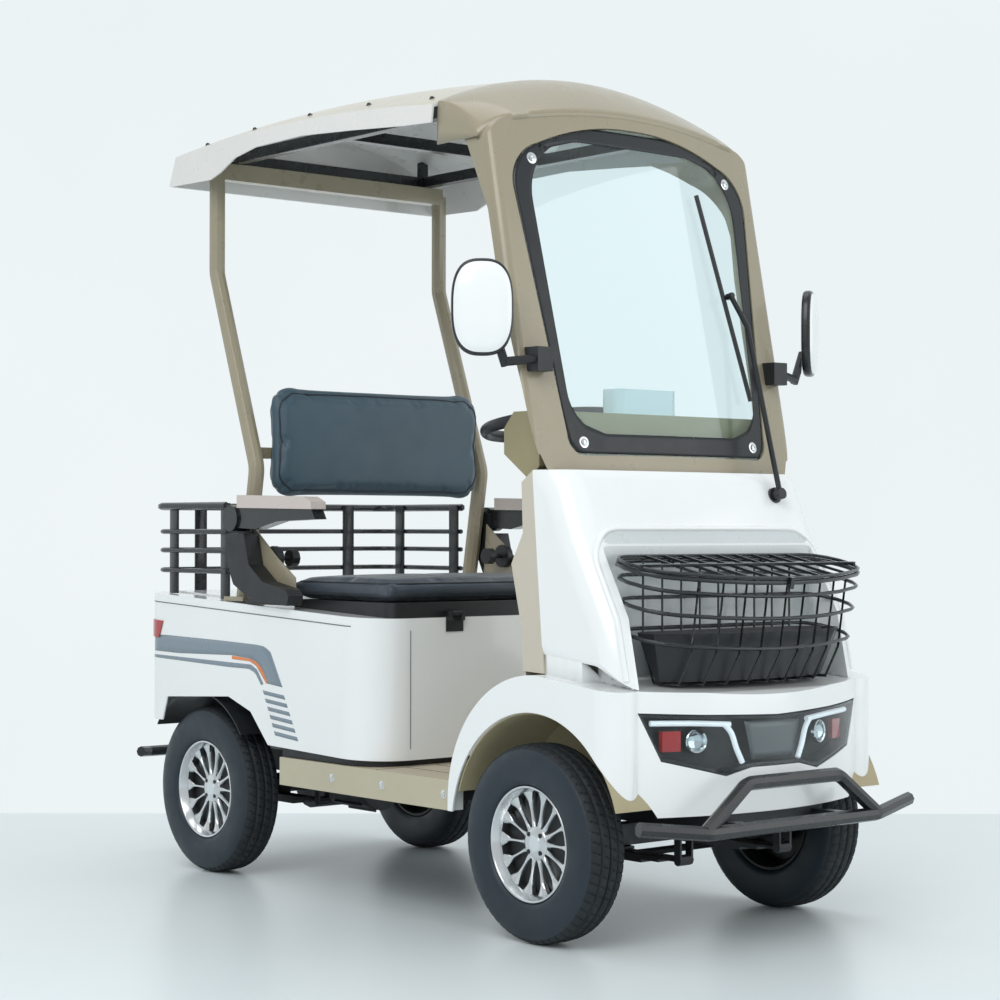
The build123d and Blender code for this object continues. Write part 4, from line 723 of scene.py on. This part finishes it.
def mirrored(side):
    """A closed outline from the (x, z) points of its left side."""
    return side + [(-x, z) for x, z in reversed(side)]


def screen_band():
    """The dark printed border, between the glass edge and a rounded clear field."""
    low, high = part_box("windscreen")
    tree = tree_of(nodes["windscreen"])
    edge_low = low[2] / MM + 6
    edge_high = high[2] / MM - 6

    def glass_half(z):
        found = [x for x in np.arange(*GLASS_SEARCH_X, -1.0) if from_front(tree, x, z)]
        return found[0] if found else 300

    def field_half(z):
        (low_z, low_half), (high_z, high_half) = FIELD_HALF_LOW, FIELD_HALF_HIGH
        return low_half + (z - low_z) * (high_half - low_half) / (high_z - low_z)

    def turns(loop):
        return np.unwrap(np.arctan2(loop[:, 1] - SCREEN_MID_Z, loop[:, 0]))

    edge = [(glass_half(z) - 2, z) for z in np.linspace(edge_low, edge_high, BAND_ROWS)]
    field = []
    for z in np.linspace(BAND_LOW_Z, BAND_HIGH_Z, BAND_ROWS):
        inset = 0.0
        for end, corner in BAND_CORNER.items():
            near = corner - abs(z - end)
            if near > 0:
                inset = corner - sqrt(max(0, corner ** 2 - near ** 2))
        field.append((field_half(z) - inset, z))
    # The two loops get points along their long top and bottom runs too
    outer = mirrored(edge)
    outer = along(outer + [outer[0]], BAND_STEPS + 1)[:-1]
    inner = mirrored(field)
    inner = along(inner + [inner[0]], 2001)
    turn_in = turns(inner)
    order = np.argsort(turn_in)
    rings = []
    for share in np.linspace(0, 1, 7):
        ring = []
        for point, turn in zip(outer, turns(outer)):
            spot = [np.interp(turn, turn_in[order], inner[order, k], period=2 * pi) for k in range(2)]
            x, z = point + (np.array(spot) - point) * share
            found = from_front(tree, x, z, BAND_LIFT)
            # A point beyond the glass comes in towards its middle until it lies on it
            while found is None:
                x *= 0.995
                z += (SCREEN_MID_Z - z) * 0.005
                found = from_front(tree, x, z, BAND_LIFT)
            ring.append(found[0])
        rings.append(ring)
    made = Shape().skin(rings)
    piece = made.make("windscreen_band", [BAND], body_of("windscreen"), thick=0.5)


# Bolt places: (x, z) on the screen, y along the sill and the roof's edge
SCREEN_BOLTS = ((277, 1559), (241, 982))
SILL_BOLTS_Y = (-330, -120, 60)
SILL_BOLTS_Z = 268
ROOF_BOLTS_Y = (-260, -40, 180, 400, 600)
ROOF_BOLTS_X = 350
SCREEN_BOLT_R = 8.0
SILL_BOLT_R = 6.0
ROOF_BOLT_R = 4.5


def dome(made, found, r):
    """A domed bolt head with its washer, on a surface."""
    spot, way = found
    profile = [(-0.5, r * 1.5), (0.8, r * 1.5), (1.2, r * 1.35), (1.3, r), (3.2, r * 0.92), (4.6, r * 0.6),
               (4.9, r * 0.42), (3.2, r * 0.36), (3.1, 0.1)]
    made.skin(lathe(profile, 20, spot, way))


def bolts():
    screen = Shape()
    sill = Shape()
    roof = Shape()
    screen_tree, sill_tree, roof_tree = [tree_of(nodes[name]) for name in
                                         ("windscreen", "floor_sills", "roof_panel")]
    for _, side in SIDES:
        for x, z in SCREEN_BOLTS:
            dome(screen, from_front(screen_tree, side * x, z, 0.8), SCREEN_BOLT_R)
        for y in SILL_BOLTS_Y:
            dome(sill, from_side(sill_tree, side, y, SILL_BOLTS_Z), SILL_BOLT_R)
        for y in ROOF_BOLTS_Y:
            dome(roof, from_above(roof_tree, side * ROOF_BOLTS_X, y), ROOF_BOLT_R)
    screen.make("windscreen_bolts", [CHROME], body_of("windscreen"))
    sill.make("sill_bolts", [CHROME], body_of("floor_sills"))
    roof.make("roof_bolts", [GLOSS_BLACK], body_of("roof_panel"))


# Side stripes, as (y, z) lines
WIDE_TOP = ((790, 552), (733, 554), (497, 550), (347, 546), (314, 543), (289, 531), (242, 455))
WIDE_LOW = ((790, 515), (677, 513), (447, 518), (368, 513), (343, 506), (326, 495), (299, 460))
ORANGE_TOP = ((447, 517), (368, 512.5), (343, 505.5), (326, 494.5), (299, 460))
ORANGE_LOW = ((447, 509), (373, 507), (347, 498), (306, 460))
THIN_TOP = ((795, 506), (447, 501), (368, 500), (343, 489), (318, 459))
THIN_LOW = ((795, 499), (454, 490), (377, 490), (351, 482), (326, 455))
# The bars below the stripes: the first one's ends and height, and the step from one to the next
BAR_COUNT = 6
BAR_REAR_Y = 320
BAR_REAR_STEP = 9
BAR_FRONT_Y = 236
BAR_FRONT_STEP = 10.2
BAR_Z = 444
BAR_DROP = 17.8
STRIPE_LIFT = 0.35
# Where the stripe lies past the skin's edge, it stays in the skin's plane
SKIN_X = 378.3
# The rear body's rim rises from front to back, and a seam runs below it
RIM_FRONT = (-86, 616)
RIM_REAR = (838, 656)
SEAM_BELOW_RIM = 20
SEAM_Y = (-10, 792)
FRONT_SEAM_X = -270
FRONT_SEAM_Z = (335, 590)
SEAM_LIFT = 0.1


def stripe(made, tree, side, top, low, mark_, count=60, steps=4):
    """A band between two (y, z) lines, laid on the skin."""
    top = along(top, count)
    low = along(low, count)
    rings = []
    for share in np.linspace(0, 1, steps):
        ring = []
        for y, z in top + (low - top) * share:
            found = from_side(tree, side, y, z, STRIPE_LIFT)
            ring.append(found[0] if found else Vector((side * SKIN_X, y, z)))
        rings.append(ring)
    made.skin(rings, mark_, around=False)


def stripes():
    tree = tree_of(nodes["rear_body"])
    for name, side in SIDES:
        made = Shape()
        stripe(made, tree, side, WIDE_TOP, WIDE_LOW, 0)
        stripe(made, tree, side, ORANGE_TOP, ORANGE_LOW, 1)
        stripe(made, tree, side, THIN_TOP, THIN_LOW, 0)
        for i in range(BAR_COUNT):
            rear = BAR_REAR_Y - BAR_REAR_STEP * i
            front = BAR_FRONT_Y - BAR_FRONT_STEP * i
            z = BAR_Z - BAR_DROP * i
            top = ((rear, z), (front, z - 7))
            low = ((rear - 5, z - 9), (front - 5, z - 16))
            stripe(made, tree, side, top, low, 0, 8, 2)
        piece = made.make(f"side_stripes_{name}", [STRIPE, ORANGE], body_of("rear_body"), thick=0.3)


def body_seams():
    """Thin lines of shade where the moulded panels meet."""
    tree = tree_of(nodes["rear_body"])
    made = Shape()
    (front_y, front_z), (rear_y, rear_z) = RIM_FRONT, RIM_REAR
    for _, side in SIDES:
        line = []
        for y in np.linspace(*SEAM_Y, 60):
            rim_z = front_z + (y - front_y) * (rear_z - front_z) / (rear_y - front_y)
            found = from_side(tree, side, y, rim_z - SEAM_BELOW_RIM, SEAM_LIFT)
            if found:
                line.append(found[0])
        made.skin(tube(line, 1.3, 6), caps=True)
    line = []
    for z in np.linspace(*FRONT_SEAM_Z, 20):
        found = from_front(tree, FRONT_SEAM_X, z, SEAM_LIFT)
        if found:
            line.append(found[0])
    made.skin(tube(line, 1.2, 6), caps=True)
    piece = made.make("body_seams", [SEAM], body_of("rear_body"))


# Lamp interior, on the nose surface

LAMP_DEPTH = 16.0
NOSE_FRONT_Y = -908.0
NOSE_BOW = 1300.0
# (x, z) points on the nose
GUIDE_LINES = (((274, 440), (190, 438), (108, 433)), ((119, 432), (104, 415), (92, 385), (78, 358)))
GUIDE_R = 5.5
REFLECTOR = ((214, 385), (250, 385), (250, 424), (214, 424))
PROJECTOR_AT = (173, 402)
PROJECTOR_TURN = 0.26
PROJECTOR_RING = ((-4, 25), (2, 24), (4, 22), (2, 19), (-6, 17), (-8, 0.1))
CENTRE_Z = (362, 438)
CENTRE_HALF = 58
CENTRE_FLARE = 0.25


def nose_y(x, depth):
    """How far back a point lies that stands a depth behind the nose's bowed front."""
    return NOSE_FRONT_Y + x * x / NOSE_BOW + depth


def lamps():
    """Light guides, a projector with its chrome ring, a red reflector and a dark centre panel."""
    guides = Shape()
    optics = Shape()
    projector_x, projector_z = PROJECTOR_AT
    ball = [(16 * cos(a) - 8, 16.5 * sin(a) + 0.05) for a in np.linspace(0, pi / 2, 10)]
    for _, side in SIDES:
        for line in GUIDE_LINES:
            points = [(side * x, nose_y(x, LAMP_DEPTH), z) for x, z in smooth(line, 6)]
            guides.skin(tube(points, GUIDE_R, 10), caps=True)
        centre = (side * projector_x, nose_y(projector_x, LAMP_DEPTH + 12), projector_z)
        way = Vector((side * PROJECTOR_TURN, -1, 0))
        optics.skin(lathe(PROJECTOR_RING, 40, centre, way), 0)
        optics.skin(lathe(ball, 32, centre, way), 1)
        front = [(side * x, nose_y(x, LAMP_DEPTH), z) for x, z in REFLECTOR]
        back = [(side * x, nose_y(x, LAMP_DEPTH + 10), z) for x, z in REFLECTOR]
        optics.skin([back, front], 2, caps=True)
    body = body_of("headlamp_housing")
    guides.make("lamp_guides", [GUIDE], body)
    optics.make("lamp_optics", [CHROME, LENS, RED], body, sharp=30)
    rings = []
    low_z, high_z = CENTRE_Z
    for z in np.linspace(low_z, high_z, 6):
        half = CENTRE_HALF + (z - low_z) * CENTRE_FLARE
        rings.append([(x, nose_y(x, LAMP_DEPTH - 4), z) for x in np.linspace(-half, half, 12)])
    panel = Shape().skin(rings, around=False)
    panel.make("lamp_centre", [CENTRE], body, thick=3)


# Mirrors

MIRROR_C = (469.0, -570.0, 1240.0)
MIRROR_TOE = 35.0
MIRROR_WIDTH = 122.0
MIRROR_HEIGHT = 190.0
MIRROR_ROUND = 0.72
MIRROR_STEPS = 64
# Stations of a mirror head from its cover to its glass: (depth, share of the outline, material)
MIRROR_STATIONS = ((-15.5, 0.0, 0), (-15.2, 0.3, 0), (-14.2, 0.55, 0), (-12.0, 0.76, 0), (-8.5, 0.89, 0),
                   (-5.5, 0.93, 0), (-5.0, 0.95, 1), (-3.0, 0.985, 1), (2.0, 1.0, 1), (10.0, 0.995, 1),
                   (13.5, 0.97, 1), (14.0, 0.94, 1), (12.5, 0.925, 1), (12.3, 0.9, 2), (12.8, 0.0, 2))


def mirrors():
    """Rounded heads: a domed white cover that faces forward, a black surround and a silvered glass."""
    made = Shape()
    outline = []
    for a in np.arange(MIRROR_STEPS) * 2 * pi / MIRROR_STEPS:
        x = abs(cos(a)) ** MIRROR_ROUND * (1 if cos(a) > 0 else -1) * MIRROR_WIDTH / 2
        z = abs(sin(a)) ** MIRROR_ROUND * (1 if sin(a) > 0 else -1) * MIRROR_HEIGHT / 2
        outline.append((x, z))
    for _, side in SIDES:
        turn = radians(MIRROR_TOE) * side
        across = np.array((cos(turn), sin(turn), 0))
        back = np.array((-sin(turn), cos(turn), 0))
        centre = np.array(MIRROR_C) * (side, 1, 1)
        rings = []
        for depth, share, _ in MIRROR_STATIONS:
            rings.append([centre + across * x * share + back * depth + np.array((0, 0, z * share))
                          for x, z in outline])
        for i in range(len(rings) - 1):
            made.skin(rings[i:i + 2], MIRROR_STATIONS[i + 1][2])
    piece = made.make("mirror_heads_shown", [WHITE, GLOSS_BLACK, SILVER], body_of("mirror_heads"), sharp=50)
    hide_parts("mirror_heads")


# Canopy hood, between the windscreen's top and the roof's front edge

HOOD_REAR_Y = -315.5
HOOD_HALF = 377.0
HOOD_CORNER = 77.0
HOOD_FRONT_Y = -488.0
HOOD_FRONT_Z = 1676.0
HOOD_SIDE_Z = 1598.0
HOOD_BOW = 7600.0
HOOD_THICK = 3.0
# How the side edges turn down over the pillars: (share of the drop, how far out)
HOOD_TURN = ((0.35, 1.5), (0.7, 2.0), (1.0, 2.2))


def hood():
    roof = tree_of(nodes["roof_panel"])
    rings = []
    for x in np.linspace(-HOOD_HALF, HOOD_HALF, 77):
        far = abs(x)
        rear_z = from_above(roof, x, HOOD_REAR_Y + 4)[0].z
        corner = max(0, far - HOOD_HALF + HOOD_CORNER) / HOOD_CORNER
        front_y = HOOD_FRONT_Y + far * far / HOOD_BOW + 26 * corner ** 2
        front_z = HOOD_FRONT_Z - 36 * (far / 330) ** 2 - 22 * corner ** 3
        ring = [(x, front_y + 2, front_z - 14)]
        for share in np.linspace(0, 1, 16):
            rise = 1 - (1 - share) ** 1.7
            ring.append((x, front_y + (HOOD_REAR_Y - front_y) * share, front_z + (rear_z - front_z) * rise))
        rings.append(ring)
    edges = []
    for end, edge in ((-1, rings[0]), (1, rings[-1])):
        edges.append([[(x + end * out, y, z + (min(z, HOOD_SIDE_Z) - z) * drop) for x, y, z in edge]
                      for drop, out in HOOD_TURN])
    made = Shape().skin(edges[0][::-1] + rings + edges[1], around=False)
    piece = made.make("canopy_hood", [BEIGE], body_of("canopy_front"), sharp=60, thick=HOOD_THICK)


# Cowl: the niche behind the basket, with a lip and a field in painted shade, and the returns at the cowl's
# sides

NICHE_HALF = 318.0
NICHE_TOP_Z = 811.0
NICHE_LOW_Z = 520.0
NICHE_CORNER = 74.0
LIP_R = 6.5
LIP_SUNK = 1.5
# The returns run along the cowl's lower edge and end inside the fender
RETURN_Y = (-611, -860)
RETURN_LOW_Z = 505
RETURN_SEARCH_Z = 640
RETURN_LEAST_X = 290
RETURN_INSET = 1.6
RETURN_LAP = 6


def niche():
    cowl = tree_of(nodes["cowl_shell"])
    body = body_of("cowl_shell")
    # One side as (x, z) points: the upright line, the corner and half the top
    low_x = NICHE_HALF - NICHE_CORNER
    low_z = NICHE_TOP_Z - NICHE_CORNER
    half = [(NICHE_HALF, z) for z in np.linspace(NICHE_LOW_Z, low_z, 12)[:-1]]
    for turn in np.linspace(0, pi / 2, 10):
        half.append((low_x + NICHE_CORNER * cos(turn), low_z + NICHE_CORNER * sin(turn)))
    half += [(x, NICHE_TOP_Z) for x in np.linspace(low_x, 0, 10)[1:]]
    whole = half + [(-x, z) for x, z in reversed(half[:-1])]
    line = [from_front(cowl, x, z, -LIP_SUNK)[0] for x, z in whole]
    lip = Shape().skin(tube(line, LIP_R, 12), caps=True)
    lip.make("cowl_niche_lip", [WHITE], body)
    # The field is a thin sheet laid on the cowl inside the lip, in a greyer white: painted shade for the
    # recess
    rings = []
    for x, z in half:
        rings.append([from_front(cowl, x * share, z, 0.5)[0] for share in np.linspace(-1, 1, 25)])
    field = Shape().skin(rings, around=False)
    field.make("cowl_niche_painted_shade", [NICHE_PAINTED_SHADE], body, thick=0.6)


def cowl_returns():
    cowl = tree_of(nodes["cowl_shell"])
    for name, side in SIDES:
        edge = []
        for y in np.linspace(*RETURN_Y, 36):
            hits = [from_side(cowl, side, y, z) for z in np.arange(RETURN_SEARCH_Z, RETURN_LOW_Z, -3.0)]
            low_hits = [hit[0] for hit in hits if hit and abs(hit[0].x) > RETURN_LEAST_X]
            if low_hits:
                edge.append(low_hits[-1])
        rings = [[(p.x - side * RETURN_INSET, p.y, p.z + rise) for p in edge] for rise in (RETURN_LAP, 0)]
        rings.append([(p.x - side * RETURN_INSET, p.y, RETURN_LOW_Z) for p in edge])
        made = Shape().skin(rings, around=False)
        piece = made.make(f"cowl_return_{name}", [WHITE], body_of("cowl_shell"), thick=2.0)


# The CAD pieces that stay

FINISHES = {
    "chassis_frame": STEEL, "front_axle": STEEL, "leaf_springs": STEEL, "rear_axle": STEEL,
    "drive_motor": STEEL, "knuckle_R": STEEL, "knuckle_L": STEEL, "tie_rod": STEEL, "seat_hinges": STEEL,
    "floor_sills": SILL, "wheel_wells": WELL, "leg_shield": SHIELD, "dash_panel": DASH,
    "nose_shell": WHITE, "cowl_shell": WHITE, "rear_body": WHITE,
    "canopy_front": BEIGE, "rear_posts": BEIGE, "seat_side_plates": BEIGE,
    "windscreen": GLASS, "headlamp_lens": LENS, "tail_lamps": RED,
    "roof_frame": GLOSS_BLACK, "front_bumper": GLOSS_BLACK, "rear_bumper": GLOSS_BLACK,
    "cargo_rails": GLOSS_BLACK, "basket_wire": GLOSS_BLACK, "basket_lid": GLOSS_BLACK,
}
SHOWN_INSTEAD = ("tyre_", "rim_", "seat_cushion", "seat_back", "steering_wheel", "mirror_heads")
# How wide the edges of these pieces are rounded, where it isn't the common EDGE
FINE_EDGES = {"basket_wire": 0.0, "basket_lid": 0.4, "cargo_rails": 0.0, "windscreen": 0.5,
              "headlamp_lens": 0.5, "wiper": 0.6, "clamp_knobs": 1.0}
# Where a piece takes its second finish: above these heights, and on the armrests in front of a depth
SLAT_Z = 297
POD_Z = 1044.2
PAD_Z = 851.5
PAD_REAR_Y = 396


def cad_pieces():
    for name in nodes:
        if name.startswith(SHOWN_INSTEAD):
            continue
        if name == "floor_deck":
            piece = dress(name, BLACK, SLAT, bevel=0.8)
            mark(piece, lambda c, n: n.z > 0.7 and c.z > SLAT_Z)
        elif name == "roof_panel":
            # Faces that face up take the roof's beige; the rest keep the whiter colour, a painted highlight
            piece = dress(name, ROOF_PAINTED_HIGHLIGHT, ROOF)
            mark(piece, lambda c, n: n.z > 0.5)
        elif name == "dash_panel":
            piece = dress(name, DASH, POD)
            mark(piece, lambda c, n: c.z > POD_Z)
        elif name.startswith("armrest_") and name != "armrest_brackets":
            piece = dress(name, GLOSS_BLACK, PAD, bevel=4.0)
            mark(piece, lambda c, n: c.z > PAD_Z and c.y < PAD_REAR_Y)
        else:
            bevel = FINE_EDGES.get(name, EDGE)
            dress(name, FINISHES.get(name, BLACK), bevel=bevel)


# Stage, light and camera

YAW = 40.12
PITCH = 0.777
ROLL = -0.05
CAMERA_AT_M = (-3.251, -3.952, 0.812)
LENS_MM = 81.44
SENSOR_MM = 36.0
SHIFT = (-0.009, -0.003)
WALL_BEHIND_M = 1.32
WALL_HALF_M = 12
WALL_HIGH_M = 9
FLOOR_HALF_M = 40.0
LAMP_SIZE_M = 4.0
LAMPS_AIM_M = (0, 0, 0.7)
# Each lamp's place in metres and its power in watts
LAMPS = {"key": ((-4.5, -3.0, 4.6), 165), "fill": ((3.0, -5.0, 2.0), 60), "top": ((0.5, 1.0, 5.5), 60)}


def sheet(name, corners, material):
    mesh = bpy.data.meshes.new(name)
    mesh.from_pydata([c[:] for c in corners], [], [(0, 1, 2, 3)])
    mesh.materials.append(material)
    made = bpy.data.objects.new(name, mesh)
    scene.collection.objects.link(made)
    return made


def floor_pale():
    g = Graph("floor_pale")
    g.link(g.blend(g.remap(g.noise(0.8), 0.0, 1.0), paint(219, 229, 232), paint(226, 234, 236)),
           g.shader.inputs["Base Color"])
    g.shader.inputs["Roughness"].default_value = 0.32
    g.shader.inputs["Specular IOR Level"].default_value = 0.3
    return g.material


def wall_pale():
    """Shows to the camera, in gloss and through glass, from the front alone. It lights nothing."""
    g = Graph("wall_pale")
    light = g.node("ShaderNodeEmission")
    g.link(g.blend(g.remap(g.noise(0.5), 0.0, 1.0), paint(233, 241, 243), paint(240, 246, 248)),
           light.inputs["Color"])

    def joined(operation, first, second):
        made = g.node("ShaderNodeMath", operation=operation)
        for value, slot in ((first, made.inputs[0]), (second, made.inputs[1])):
            if isinstance(value, float):
                slot.default_value = value
            else:
                g.link(value, slot)
        return made.outputs[0]

    path = g.node("ShaderNodeLightPath").outputs
    seen = joined("MAXIMUM", path["Is Camera Ray"], path["Is Glossy Ray"])
    seen = joined("MAXIMUM", seen, path["Is Transmission Ray"])
    front = joined("SUBTRACT", 1.0, g.node("ShaderNodeNewGeometry").outputs["Backfacing"])
    mix = g.node("ShaderNodeMixShader")
    g.link(joined("MULTIPLY", seen, front), mix.inputs[0])
    g.link(g.node("ShaderNodeBsdfTransparent").outputs[0], mix.inputs[1])
    g.link(light.outputs[0], mix.inputs[2])
    g.link(mix.outputs[0], g.tree.nodes["Material Output"].inputs["Surface"])
    return g.material


def stage():
    reach = FLOOR_HALF_M
    ground = sheet("floor", [(-reach, -reach, 0), (reach, -reach, 0), (reach, reach, 0), (-reach, reach, 0)],
                   floor_pale())
    f = Vector((sin(radians(YAW)), cos(radians(YAW)), 0))
    right = Vector((f.y, -f.x, 0)) * WALL_HALF_M
    base = f * WALL_BEHIND_M
    rise = Vector((0, 0, WALL_HIGH_M))
    wall = sheet("wall", [base - right, base + right, base + right + rise, base - right + rise], wall_pale())


def area(name, at, power):
    lamp = bpy.data.lights.new(name, "AREA")
    lamp.size = LAMP_SIZE_M
    lamp.energy = power
    holder = bpy.data.objects.new(name, lamp)
    holder.location = at
    holder.rotation_euler = (Vector(LAMPS_AIM_M) - Vector(at)).to_track_quat("-Z", "Y").to_euler()
    scene.collection.objects.link(holder)


def light_and_camera():
    world = bpy.data.worlds.new("studio")
    world.use_nodes = True
    sky = world.node_tree.nodes["Background"]
    sky.inputs["Color"].default_value = paint(243, 247, 249)
    sky.inputs["Strength"].default_value = 0.72
    scene.world = world
    for name, (at, power) in LAMPS.items():
        area(name, at, power)
    data = bpy.data.cameras.new("camera")
    data.lens = LENS_MM
    data.sensor_width = SENSOR_MM
    data.shift_x, data.shift_y = SHIFT
    camera = bpy.data.objects.new("camera", data)
    yaw = radians(YAW)
    pitch = radians(PITCH)
    f = Vector((cos(pitch) * sin(yaw), cos(pitch) * cos(yaw), sin(pitch)))
    r = Vector((cos(yaw), -sin(yaw), 0))
    r = Matrix.Rotation(radians(ROLL), 3, f) @ r
    up = r.cross(f)
    turn = Matrix((r, up, -f)).transposed().to_4x4()
    camera.matrix_world = Matrix.Translation(CAMERA_AT_M) @ turn
    scene.collection.objects.link(camera)
    scene.camera = camera
    scene.view_settings.view_transform = "Standard"


cad_pieces()
wheels()
cushion()
seat_back()
steering()
screen_band()
bolts()
stripes()
body_seams()
lamps()
mirrors()
hood()
niche()
cowl_returns()
stage()
light_and_camera()

bpy.context.view_layer.update()
